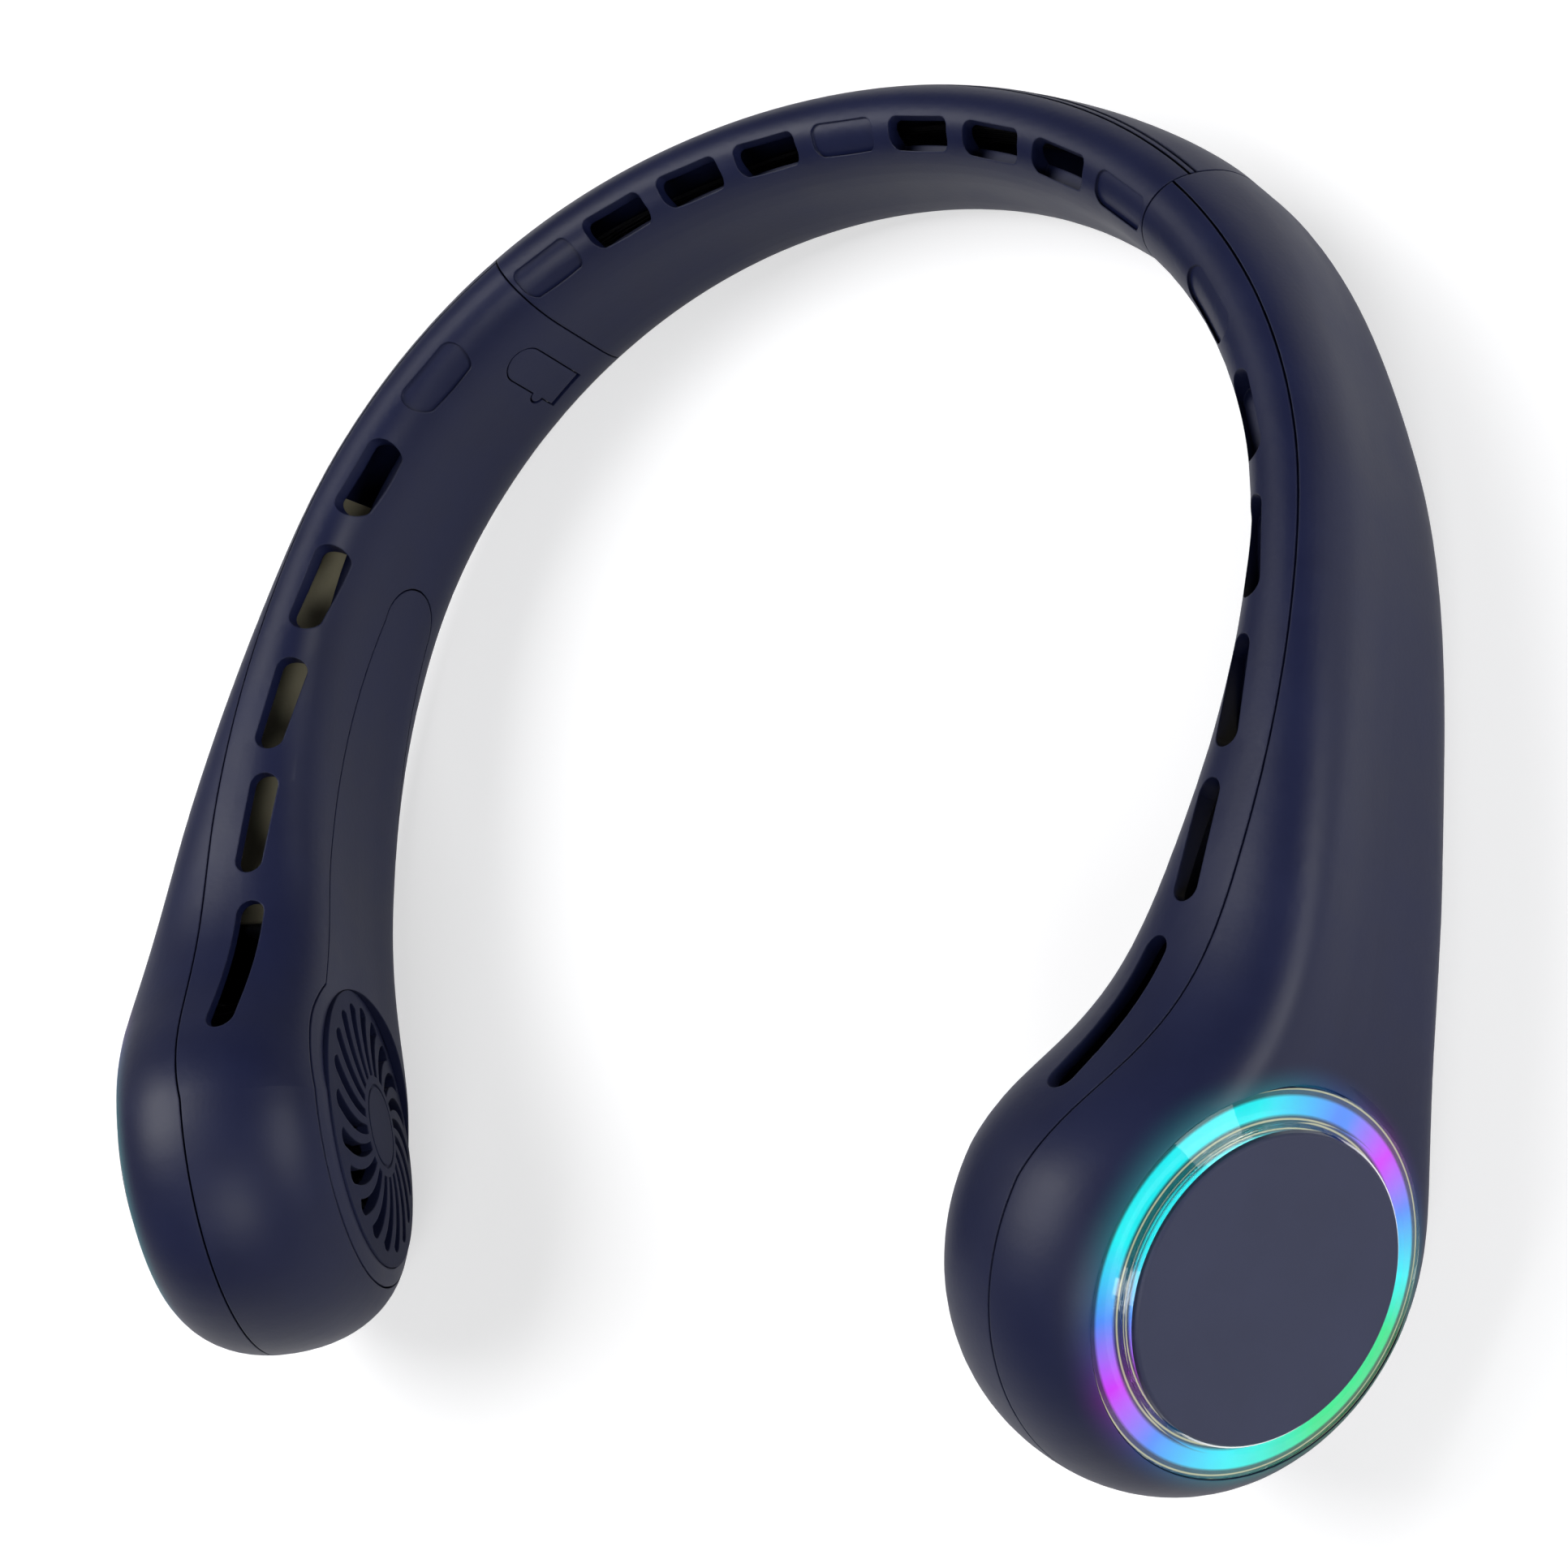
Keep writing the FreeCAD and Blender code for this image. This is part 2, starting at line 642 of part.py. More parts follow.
def turned(name, corners, place=None):
    # body of revolution about its own Z axis; corners are (radius, height)
    body = doc.addObject("PartDesign::Body", name)
    sketch = outline_sketch(body, name + "_profile", "XZ_Plane", corners)
    turn = body.newObject("PartDesign::Revolution", name + "_turn")
    turn.Profile = sketch
    turn.ReferenceAxis = (sketch, ["V_Axis"])
    turn.Angle = 360
    if place is not None:
        body.Placement = place
    return body


def tube(name, inner, outer, low, high, place=None):
    return turned(name, [(inner, low), (outer, low), (outer, high), (inner, high)], place)


def ring_of(shape, count):
    # copies of a shape turned evenly about the Z axis
    copies = []
    for index in range(int(count)):
        copy = shape.copy()
        copy.rotate(Vector(), Vector(0, 0, 1), 360 * index / int(count))
        copies.append(copy)
    return Part.makeCompound(copies)


def swirl_face(inner, outer, width_inner, width_outer, sweep, height, nose=0.0):
    # curved bar between two radii, its outer end turned by the sweep and rounded by the nose
    def edge_points(side):
        points = []
        for share in (0.0, 0.5, 1.0):
            radius = blend(inner, outer, share)
            angle = math.radians(sweep) * share ** 1.5
            shift = side * blend(width_inner, width_outer, share) / 2
            ahead = Vector(math.cos(angle), math.sin(angle), 0)
            points.append(ahead * radius + Vector(-ahead.y, ahead.x, 0) * shift + Vector(0, 0, height))
        return points
    left = edge_points(1)
    right = edge_points(-1)
    end = Part.LineSegment(left[2], right[2])
    if nose:
        turn = math.radians(sweep)
        tip = Vector(math.cos(turn), math.sin(turn), 0) * (outer + nose) + Vector(0, 0, height)
        end = Part.Arc(left[2], tip, right[2])
    edges = [Part.Arc(*left).toShape(), end.toShape(),
             Part.Arc(*right).toShape(), Part.LineSegment(right[0], left[0]).toShape()]
    return Part.Face(Part.Wire(Part.__sortEdges__(edges)))


def mirrored(source, label):
    obj = doc.addObject("Part::Mirroring", label)
    obj.Source = source
    obj.Normal = Vector(1, 0, 0)
    obj.Base = Vector()
    return obj


# Right arm: outer shell, vent frame, inner cover

arm_start = mm.neckband_half + mm.panel_gap / 2
inner_wall = mm.cover_thickness + mm.cover_ledge
past_joint = arm_start - mm.sleeve_length       # tools reach this far past the joint
pod_place = frame_at(pod_station, -mm.pod_thickness / 2)

arm_skin = feature("arm_skin", band_solid(arm_start, pod_station))
arm_cavity = feature("arm_cavity", band_solid(past_joint, pod_station, mm.wall, inner_wall, mm.wall))
arm_core = feature("arm_core", band_solid(past_joint, pod_station, *[mm.cover_thickness] * 3))
arm_shell = cut("arm_shell", arm_skin, arm_cavity)

# heights in the pod frame, from the neck-side face outward
pod_face = sz.pod_thickness
disc_top = pod_face + sz.disc_proud
disc_base = disc_top - sz.disc_thickness
floor_top = pod_face - sz.channel_depth
floor_base = floor_top - sz.channel_wall
board_top = floor_top + sz.led_board_thickness
guide_top = board_top + sz.guide_height
boss_base = floor_base - sz.boss_height
plate_base = boss_base - sz.plate_thickness

# radii in the pod frame
lens_radius = sz.pod_diameter / 2 - sz.pod_rim
disc_radius = lens_radius - sz.ring_width
channel_outer = lens_radius + sz.fit_gap
channel_inner = disc_radius + sz.fit_gap
grille_radius = sz.pod_diameter / 2 - sz.cover_rim - sz.grille_margin
plate_radius = sz.pod_diameter / 2 - sz.plate_inset
wheel_radius = sz.pod_diameter / 2 - sz.wheel_inset
boss_circle = pod_radius - mm.boss_inset

outer_block = feature("outer_block", side_block(past_joint, pod_station, outer_side(mm.arm_seam)))
outer_half = common("outer_half", arm_shell, outer_block)
lamp_bore = primitive("Part::Cylinder", "lamp_bore", Radius=channel_outer, Height=sz.pod_thickness)
lamp_bore.Placement = pod_place.multiply(Placement(Vector(0, 0, float(floor_top)), Rotation()))
outer_bored = cut("outer_bored", outer_half, lamp_bore)
lamp_seat = turned("lamp_seat", [
    (channel_inner - sz.channel_wall, floor_base),
    (channel_outer + sz.channel_wall, floor_base),
    (channel_outer + sz.channel_wall, floor_top + sz.channel_wall * 0.75),
    (channel_outer, floor_top + sz.channel_wall * 0.75),
    (channel_outer, floor_top),
    (channel_inner, floor_top),
    (channel_inner, disc_base),
    (0, disc_base),
    (0, disc_base - sz.wall),
    (channel_inner - sz.channel_wall, disc_base - sz.wall)], pod_place)
screw_spot = Vector(boss_circle, 0, float(boss_base))
bosses = feature("bosses", ring_of(Part.makeCylinder(mm.boss_radius, mm.boss_height, screw_spot),
                                   mm.plate_screw_count), pod_place)
pilots = feature("pilots", ring_of(Part.makeCylinder(mm.screw_radius, mm.screw_grip + mm.fit_gap, screw_spot),
                                   mm.plate_screw_count), pod_place)
outer_joined = fuse("outer_joined", [outer_bored, lamp_seat, bosses])
right_outer_shell = node(cut("right_outer_shell", outer_joined, pilots), "right_outer_shell")

inner_block = feature("inner_block", side_block(past_joint, pod_station, inner_side(mm.arm_seam)))
inner_half = common("inner_half", arm_shell, inner_block)
first_vent = mm.neckband_half + mm.arm_vent_first
vent_pitch = (pod_station - mm.arm_vent_last - first_vent) / 4
arm_vents = []
for index in range(5):
    station = first_vent + index * vent_pitch
    length = mm.arm_vent_length + index * mm.arm_vent_growth
    arm_vents.append(vent(station, length, mm.vent_width / 2, blind=index == 0))
last_vent = pod_station - mm.last_vent_gap
arm_vents.append(vent(last_vent, mm.last_vent_length, mm.vent_width / 2, blind=False))
vent_tool = feature("arm_vent_tool", Part.makeCompound(arm_vents))
vented_half = cut("vented_half", inner_half, vent_tool)
cover_recess = cut("cover_recess", feature("cover_recess_block", cover_outline(0.0)), arm_core)
cover_opening = feature("cover_opening", cover_outline(-mm.cover_ledge))
recessed_half = cut("recessed_half", vented_half, cover_recess)
right_vent_frame = node(cut("right_vent_frame", recessed_half, cover_opening), "right_vent_frame")

cover_blank = common("cover_blank", arm_skin, feature("cover_block", cover_outline(-mm.panel_gap)))
cover_sheet = cut("cover_sheet", cover_blank, arm_core)
grille_bore = primitive("Part::Cylinder", "grille_bore", Radius=grille_radius + sz.fit_gap,
                        Height=sz.pod_thickness)
grille_bore.Placement = pod_place.multiply(Placement(Vector(0, 0, -mm.pod_thickness / 2), Rotation()))
right_inner_cover = node(cut("right_inner_cover", cover_sheet, grille_bore), "right_inner_cover")

# Right pod: grille, light ring, motor and wheel

def dome(radius):
    # height of the grille's face, raised toward its middle
    return sz.grille_dome * ((float(radius) / float(grille_radius)) ** 2 - 1)


grille_inner = grille_radius - sz.grille_rim
groove_inner = sz.hub_groove_radius - sz.hub_groove_width / 2
groove_outer = sz.hub_groove_radius + sz.hub_groove_width / 2
dome_steps = [groove_outer + (grille_inner - groove_outer) * (step / 6) for step in range(1, 7)]
grille_cup = turned("grille_cup", [
    (0, dome(groove_inner)), (groove_inner, dome(groove_inner)),
    (groove_inner, dome(groove_inner) + sz.hub_groove_depth),
    (groove_outer, dome(groove_outer) + sz.hub_groove_depth), (groove_outer, dome(groove_outer))]
    + [(radius, dome(radius)) for radius in dome_steps]
    + [(grille_radius, 0), (grille_radius, sz.grille_depth), (grille_inner, sz.grille_depth)]
    + [(radius, dome(radius) + sz.grille_plate) for radius in reversed(dome_steps)]
    + [(groove_outer, dome(groove_outer) + sz.grille_plate), (0, dome(groove_inner) + sz.grille_plate)],
    pod_place)
slot_face = swirl_face(mm.grille_hub, float(grille_radius) - mm.grille_slot_margin, mm.grille_slot_inner,
                       mm.grille_slot_outer, mm.grille_swirl, -mm.grille_plate - mm.grille_dome,
                       mm.grille_slot_nose)
slot = slot_face.extrude(Vector(0, 0, 3 * mm.grille_plate + mm.grille_dome))
slot_tool = feature("grille_slot_tool", ring_of(slot, mm.grille_slots), pod_place)
right_intake_grille = node(cut("right_intake_grille", grille_cup, slot_tool), "right_intake_grille")

right_side_disc = node(turned("right_side_disc", [
    (0, disc_base), (disc_radius, disc_base), (disc_radius, disc_top - sz.disc_chamfer),
    (disc_radius - sz.disc_chamfer, disc_top), (0, disc_top)]), "right_side_disc", pod_place)
lens_inner = channel_inner + sz.fit_gap
right_light_lens = node(turned("right_light_lens", [
    (lens_inner, guide_top), (lens_radius, guide_top), (lens_radius, guide_top + sz.lens_rim_height),
    (lens_inner + sz.lens_peak_width, guide_top + sz.lens_peak_height),
    (lens_inner, guide_top + sz.lens_peak_height)]), "right_light_lens", pod_place)
lamp_circle = (lens_inner + lens_radius) / 2
groove_top = board_top + sz.lamp_height + sz.lamp_room
right_light_guide = node(turned("right_light_guide", [
    (lens_inner, board_top), (lamp_circle - sz.guide_groove / 2, board_top),
    (lamp_circle - sz.guide_groove / 2, groove_top), (lamp_circle + sz.guide_groove / 2, groove_top),
    (lamp_circle + sz.guide_groove / 2, board_top), (lens_radius, board_top),
    (lens_radius, guide_top), (lens_radius - sz.guide_lip, guide_top),
    (lens_radius - sz.guide_lip, guide_top - sz.guide_air),
    (lens_inner + sz.guide_lip, guide_top - sz.guide_air),
    (lens_inner + sz.guide_lip, guide_top), (lens_inner, guide_top)]), "right_light_guide", pod_place)
right_led_board = node(tube("right_led_board", lens_inner, lens_radius, floor_top, board_top),
                       "right_led_board", pod_place)
lamp_corner = Vector(float(lamp_circle) - mm.lamp_width / 2, -mm.lamp_width / 2, float(board_top))
right_led_chips = node(feature("right_led_chips", ring_of(
    Part.makeBox(mm.lamp_width, mm.lamp_width, mm.lamp_height, lamp_corner), mm.lamps)),
    "right_led_chips", pod_place)

tube_end = plate_base - sz.tube_length
tube_outer = sz.bearing_radius + sz.tube_wall
plate_blank = turned("plate_blank", [
    (0, boss_base), (0, plate_base), (sz.bearing_radius, plate_base), (sz.bearing_radius, tube_end),
    (tube_outer, tube_end), (tube_outer, plate_base), (plate_radius, plate_base),
    (plate_radius, boss_base)], pod_place)
plate_holes = feature("plate_holes", ring_of(Part.makeCylinder(
    mm.screw_radius + mm.fit_gap, 3 * mm.plate_thickness, screw_spot - Vector(0, 0, 2 * mm.plate_thickness)),
    mm.plate_screw_count), pod_place)
right_motor_plate = node(cut("right_motor_plate", plate_blank, plate_holes), "right_motor_plate")


def screw(under_head, length):
    # head below, shank upward, with a shallow drive recess
    head = Part.makeCylinder(mm.screw_head_radius, mm.screw_head_height,
                             under_head - Vector(0, 0, mm.screw_head_height))
    drive = Part.makeCylinder(mm.screw_radius, mm.screw_head_height / 2,
                              under_head - Vector(0, 0, mm.screw_head_height))
    return head.fuse(Part.makeCylinder(mm.screw_radius, length, under_head)).cut(drive)


head_seat = Vector(boss_circle, 0, float(plate_base))
right_plate_screws = node(feature("right_plate_screws", ring_of(
    screw(head_seat, mm.plate_thickness + mm.screw_grip), mm.plate_screw_count)),
    "right_plate_screws", pod_place)

right_bearing = node(tube("right_bearing", sz.shaft_radius + sz.running_fit, sz.bearing_radius,
                          tube_end, plate_base), "right_bearing", pod_place)

stator_top = plate_base - sz.stator_gap
stator_base = stator_top - sz.stator_height
stator_hub = tube_outer + sz.tooth_width * 0.75
shoe_base = sz.stator_radius - sz.shoe_thickness
stator = turned("right_stator", [(tube_outer, stator_base), (stator_hub, stator_base),
                                 (stator_hub, stator_top), (tube_outer, stator_top)], pod_place)
shoe_edge = math.sqrt(1 - (mm.shoe_width / 2 / mm.stator_radius) ** 2)
tooth_sketch = outline_sketch(stator, "tooth_outline", "XY_Plane", [
    (tube_outer + sz.tooth_width * 0.3, sz.tooth_width / -2), (shoe_base, sz.tooth_width / -2),
    (shoe_base, sz.shoe_width / -2), (sz.stator_radius * shoe_edge, sz.shoe_width / -2),
    (sz.stator_radius * shoe_edge, sz.shoe_width / 2), (shoe_base, sz.shoe_width / 2),
    (shoe_base, sz.tooth_width / 2), (tube_outer + sz.tooth_width * 0.3, sz.tooth_width / 2)])
tooth_sketch.setExpression("AttachmentOffset.Base.z", stator_base.text)
tooth = stator.newObject("PartDesign::Pad", "tooth")
tooth.Profile = tooth_sketch
tooth.setExpression("Length", sz.stator_height.text)
teeth = stator.newObject("PartDesign::PolarPattern", "teeth_pattern")
teeth.Originals = [tooth]
teeth.Axis = (tooth_sketch, ["N_Axis"])
teeth.Angle = 360
teeth.setExpression("Occurrences", sz.teeth.text)
stator.Tip = teeth
right_stator = node(stator, "right_stator", pod_place)


def coil():
    # wound block round one tooth, with the tooth's own opening
    start = float(stator_hub) + mm.fit_gap
    length = float(shoe_base) - mm.fit_gap - start
    half = mm.tooth_width / 2 + mm.fit_gap
    low = float(stator_base) - mm.fit_gap
    tall = mm.stator_height + 2 * mm.fit_gap
    wound = Part.makeBox(length, 2 * (half + mm.coil_thickness), tall + 2 * mm.coil_thickness,
                         Vector(start, -half - mm.coil_thickness, low - mm.coil_thickness))
    wound = wound.makeFillet(mm.coil_thickness * 0.45, [edge for edge in wound.Edges if
                             abs(edge.tangentAt(edge.FirstParameter).x) > 0.9])
    return wound.cut(Part.makeBox(length, 2 * half, tall, Vector(start, -half, low)))


right_stator_coils = node(feature("right_stator_coils", ring_of(coil(), mm.teeth)),
                          "right_stator_coils", pod_place)

magnet_inner = sz.stator_radius + sz.air_gap
cup_inner = magnet_inner + sz.magnet_thickness
cup_outer = cup_inner + sz.cup_wall
cup_rim = plate_base - sz.cup_rim_gap
cup_floor = cup_rim - sz.cup_depth
cup_base = cup_floor - sz.cup_wall
right_rotor_cup = node(turned("right_rotor_cup", [
    (sz.shaft_radius, cup_base), (cup_outer, cup_base), (cup_outer, cup_rim), (cup_inner, cup_rim),
    (cup_inner, cup_floor), (sz.shaft_radius, cup_floor)]), "right_rotor_cup", pod_place)
right_magnet_ring = node(tube("right_magnet_ring", magnet_inner, cup_inner, cup_floor,
                              cup_rim - sz.cup_wall), "right_magnet_ring", pod_place)
right_shaft = node(turned("right_shaft", [
    (0, cup_base), (sz.shaft_radius, cup_base), (sz.shaft_radius, plate_base - sz.shaft_end_gap),
    (0, plate_base - sz.shaft_end_gap)]), "right_shaft", pod_place)

wheel_top = cup_rim - sz.wheel_drop
wheel_back = wheel_top - sz.wheel_wall
hub_outer = cup_outer + sz.wheel_wall
blade_base = wheel_back - sz.blade_height
wheel_hub = turned("wheel_hub", [
    (0, cup_base - sz.wheel_wall), (hub_outer, cup_base - sz.wheel_wall), (hub_outer, wheel_back),
    (wheel_radius, wheel_back), (wheel_radius, wheel_top), (cup_outer, wheel_top),
    (cup_outer, cup_base), (0, cup_base)], pod_place)
wheel_ring = tube("wheel_ring", wheel_radius - sz.shroud_width, wheel_radius, blade_base - sz.wheel_wall,
                  blade_base, pod_place)
blade_face = swirl_face(float(hub_outer) + mm.blade_start, float(wheel_radius) - mm.blade_thickness / 2,
                        mm.blade_thickness, mm.blade_thickness, mm.blade_sweep,
                        float(blade_base) - mm.wheel_wall / 2)
blade = blade_face.extrude(Vector(0, 0, mm.blade_height + mm.wheel_wall))
blades = feature("wheel_blades", ring_of(blade, mm.blade_count), pod_place)
right_impeller = node(fuse("right_impeller", [wheel_hub, wheel_ring, blades]), "right_impeller")

# Right arm inside: cell, duct wall, joint sleeve

duct_end = pod_station - mm.duct_from_pod
duct_start = duct_end - mm.duct_length
duct_top = mm.duct_up + mm.duct_wall_thickness / 2
duct_base = mm.duct_up - mm.duct_wall_thickness / 2
duct_room = feature("duct_room", band_solid(duct_start - mm.fit_gap, pod_station, mm.wall + mm.fit_gap,
                                            inner_wall + mm.fit_gap, mm.wall + mm.fit_gap))
duct_bar = feature("duct_bar", ribbon(
    stations(duct_start, duct_end), lambda station: (-beyond_out(station), beyond_out(station)),
    lambda station: (duct_base, duct_top)))
right_duct_wall = node(common("right_duct_wall", duct_room, duct_bar), "right_duct_wall")

cell_station = pod_station - mm.cell_from_pod
cell_top = duct_base - mm.cell_gap
cell_block = primitive("Part::Box", "cell_block", Length=sz.cell_length, Width=sz.cell_height,
                       Height=sz.cell_thickness)
doc.recompute()
cell = doc.addObject("Part::Fillet", "right_battery")
cell.Base = cell_block
cell.Edges = [(index + 1, mm.cell_corner, mm.cell_corner) for index in range(len(cell_block.Shape.Edges))]
right_battery = node(cell, "right_battery")
right_battery.Placement = frame_at(cell_station, mm.cell_out, cell_top).multiply(Placement(
    Vector(-mm.cell_length / 2, -mm.cell_height, -mm.cell_thickness / 2), Rotation()))

sleeve_skin = (mm.wall + mm.fit_gap, inner_wall + mm.fit_gap, mm.wall + mm.fit_gap)
sleeve_start = mm.neckband_half - mm.sleeve_length / 2
sleeve_end = mm.neckband_half + mm.sleeve_length / 2
sleeve_outside = feature("sleeve_outside", band_solid(sleeve_start, sleeve_end, *sleeve_skin))
sleeve_inside = feature("sleeve_inside", band_solid(
    sleeve_start - mm.wall, sleeve_end + mm.wall, *[depth + mm.sleeve_wall for depth in sleeve_skin]))
right_joint_sleeve = node(cut("right_joint_sleeve", sleeve_outside, sleeve_inside), "right_joint_sleeve")

# Back of the band

back_end = mm.neckband_half - mm.panel_gap / 2
back_skin = feature("back_skin", band_solid(-back_end, back_end))
back_cavity = feature("back_cavity", band_solid(-back_end - mm.wall, back_end + mm.wall,
                                                mm.wall, inner_wall, mm.wall))
back_shell = cut("back_shell", back_skin, back_cavity)
back_reach = mm.neckband_half + mm.sleeve_length
back_outer = feature("back_outer", side_block(-back_reach, back_reach, outer_side(mm.back_seam)))
back_cover = common("back_cover", back_shell, back_outer)
groove_near = mm.back_seam + mm.panel_gap + mm.back_groove_gap
groove_block = side_block(-back_reach, back_reach,
                          lambda station: (groove_near, groove_near + mm.back_groove_width))
back_core = band_solid(-back_reach, back_reach, *[mm.back_groove_depth] * 3)
back_groove = feature("back_groove", groove_block.cut(back_core))
node(cut("neckband_outer_cover", back_cover, back_groove), "neckband_outer_cover")
back_inner = feature("back_inner", side_block(-back_reach, back_reach, inner_side(mm.back_seam)))
back_channel = common("back_channel", back_shell, back_inner)
back_vent_pitch = (mm.neckband_half - mm.back_vent_end) / 4
back_vents = [vent(index * back_vent_pitch, mm.back_vent_length, mm.back_vent_corner,
                   blind=index in (-4, 0, 4)) for index in range(-4, 5)]
back_vent_tool = feature("back_vent_tool", Part.makeCompound(back_vents))
node(cut("neckband_channel", back_channel, back_vent_tool), "neckband_channel")


def cable_range(station):
    far = half_width(station) + fullness(station) - mm.wall - mm.fit_gap - mm.sleeve_wall - mm.cable_gap
    return far - mm.cable_thickness, far


cable_left = -mm.neckband_half - mm.cable_tail
harness = ribbon(stations(cable_left, duct_start - mm.cable_stop), cable_range,
                 lambda station: (-mm.cable_drop - mm.cable_width / 2, -mm.cable_drop + mm.cable_width / 2))
node(feature("harness_ribbon", harness), "harness_ribbon")

# Left side: mirror images; the shell and the frame are cut further below

mirrored_nodes = {obj.Label[len("right_"):]: obj for obj in list(nodes) if obj.Label.startswith("right_")}
left_shell_blank = mirrored(mirrored_nodes.pop("outer_shell"), "left_shell_blank")
left_frame_blank = mirrored(mirrored_nodes.pop("vent_frame"), "left_frame_blank")
for name, source in mirrored_nodes.items():
    node(mirrored(source, "left_" + name), "left_" + name)

# Left arm: charging port with its flap, control board, power button

port_station = mm.neckband_half + mm.port_from_joint
port = frame_at(-port_station)
flap_face = -half_width(port_station)          # the neck-side face, in the port's frame
flap_back = flap_face + mm.flap_thickness
pin_y = -mm.flap_length / 2 + mm.flap_thickness / 2
pin_z = flap_face + mm.flap_thickness / 2


def port_face(height, length, width, corner):
    return rounded_face(Vector(0, 0, height), Vector(0, 1, 0), Vector(1, 0, 0), length, width, corner)


def port_prism(grow, top, room=0.0):
    # flap outline, round above and square below, with its fingernail tab, up to a height
    low = flap_face - margin
    face = port_face(low, mm.flap_length + 2 * grow, mm.flap_width + 2 * grow, mm.flap_width / 2 + grow)
    foot = Part.makeBox(mm.flap_width + 2 * grow, mm.flap_length / 2 + grow, top - low,
                        Vector(-mm.flap_width / 2 - grow, -mm.flap_length / 2 - grow, low))
    tab = Part.makeCylinder(mm.flap_tab_radius + grow + room / 2, top - low,
                            Vector(mm.flap_width / 2, -mm.flap_tab_drop - room / 2, low))
    return face.extrude(Vector(0, 0, top - low)).fuse([foot, tab])


def along_pin(radius, length):
    return Part.makeCylinder(radius, length, Vector(-length / 2, pin_y, pin_z), Vector(1, 0, 0))


left_skin = mirrored(arm_skin, "left_skin")
flap_blank = common("flap_blank", left_skin, feature("flap_prism", port_prism(0.0, flap_back), port))
hinge_side = Part.makeBox(3 * mm.flap_width, 2 * mm.flap_thickness, 2 * margin,
                          Vector(-1.5 * mm.flap_width, pin_y - 2 * mm.flap_thickness, pin_z - margin))
knuckle = along_pin(mm.flap_thickness / 2, 4 * mm.flap_width)
flap_trim = feature("flap_trim", hinge_side.cut(knuckle).fuse(
    along_pin(mm.pin_radius + mm.pin_fit, 4 * mm.flap_width)), port)
node(cut("port_cover", flap_blank, flap_trim), "port_cover")

pin_half = mm.flap_width / 2 + mm.flap_gap + mm.pin_hold
pin = primitive("Part::Cylinder", "port_cover_pin", Radius=sz.pin_radius)
pin.Height = 2 * pin_half
node(pin, "port_cover_pin", port.multiply(Placement(
    Vector(-pin_half, pin_y, pin_z), Rotation(Vector(0, 1, 0), 90))))

socket_mouth = flap_back + mm.socket_flap_gap
socket_hole = port_face(flap_face, mm.socket_length + 2 * mm.socket_hole_gap,
                        mm.socket_width + 2 * mm.socket_hole_gap, mm.socket_width / 2 + mm.socket_hole_gap)
socket_hole = socket_hole.extrude(Vector(0, 0, -flap_face))
flap_seat = port_prism(mm.flap_gap, flap_back + mm.flap_gap, mm.flap_tab_room)
port_tool = feature("port_tool", flap_seat.fuse([socket_hole, along_pin(mm.pin_radius, 2 * pin_half)]), port)
node(cut("left_vent_frame", left_frame_blank, port_tool), "left_vent_frame")

board_face = mm.board_out + mm.board_thickness
screw_spots = [Vector(mm.board_screw_along, side * mm.board_screw_up, 0) for side in (-1, 1)]
board_plate = primitive("Part::Box", "board_plate", Length=sz.board_length, Width=sz.board_height,
                        Height=sz.board_thickness)
board_plate.Placement = port.multiply(Placement(
    Vector(-mm.board_margin, -mm.board_height / 2, mm.board_out), Rotation()))
board_holes = feature("board_holes", Part.makeCompound([Part.makeCylinder(
    mm.screw_radius + mm.fit_gap, mm.band_thickness, place) for place in screw_spots]), port)
node(cut("control_board", board_plate, board_holes), "control_board")
node(feature("board_screws", Part.makeCompound([
    screw(place + Vector(0, 0, mm.board_out), mm.board_thickness + mm.screw_grip) for place in screw_spots])),
    "board_screws", port)

socket_depth = mm.board_out - socket_mouth
socket_body = port_face(socket_mouth, mm.socket_length, mm.socket_width, mm.socket_width / 2 - mm.socket_wall)
socket_bore = port_face(socket_mouth, mm.socket_length - 2 * mm.socket_wall,
                        mm.socket_width - 2 * mm.socket_wall, mm.socket_width / 2 - 2 * mm.socket_wall)
tongue = Part.makeBox(mm.tongue_width, mm.tongue_length, mm.socket_bore_depth - mm.tongue_recess,
                      Vector(-mm.tongue_width / 2, -mm.tongue_length / 2, socket_mouth + mm.tongue_recess))
socket = socket_body.extrude(Vector(0, 0, socket_depth)).cut(
    socket_bore.extrude(Vector(0, 0, mm.socket_bore_depth))).fuse(tongue)
node(feature("usb_socket", socket), "usb_socket", port)

button_spot = Vector(mm.button_along, 0, 0)
switch_body = Part.makeBox(mm.switch_width, mm.switch_width, mm.switch_height,
                           button_spot + Vector(-mm.switch_width / 2, -mm.switch_width / 2, board_face))
plunger_base = board_face + mm.switch_height
button_base = plunger_base + mm.switch_height / 2 + mm.button_travel + mm.button_rest_gap
plunger = Part.makeCylinder(mm.plunger_radius, mm.switch_height / 2, button_spot + Vector(0, 0, plunger_base))
node(feature("power_switch", switch_body.fuse(plunger)), "power_switch", port)

left_outside = arm_skin.Shape.mirror(Vector(), Vector(1, 0, 0))
left_inside = arm_cavity.Shape.mirror(Vector(), Vector(1, 0, 0))


def face_over(solid, place):
    # height at which a solid of the left arm ends over a spot on the board, in the port's frame
    line = Part.makeLine(port.multVec(place), port.multVec(place + Vector(0, 0, 3 * mm.band_thickness)))
    return max(port.inverse().multVec(end.Point).z for end in line.common(solid).Vertexes)


def lowest_over(solid, centre, radius):
    # lowest such height around a round piece
    turns = [math.pi / 4 * step for step in range(8)]
    rim = [centre + Vector(math.cos(turn), math.sin(turn), 0) * radius for turn in turns]
    return min(face_over(solid, place) for place in rim)


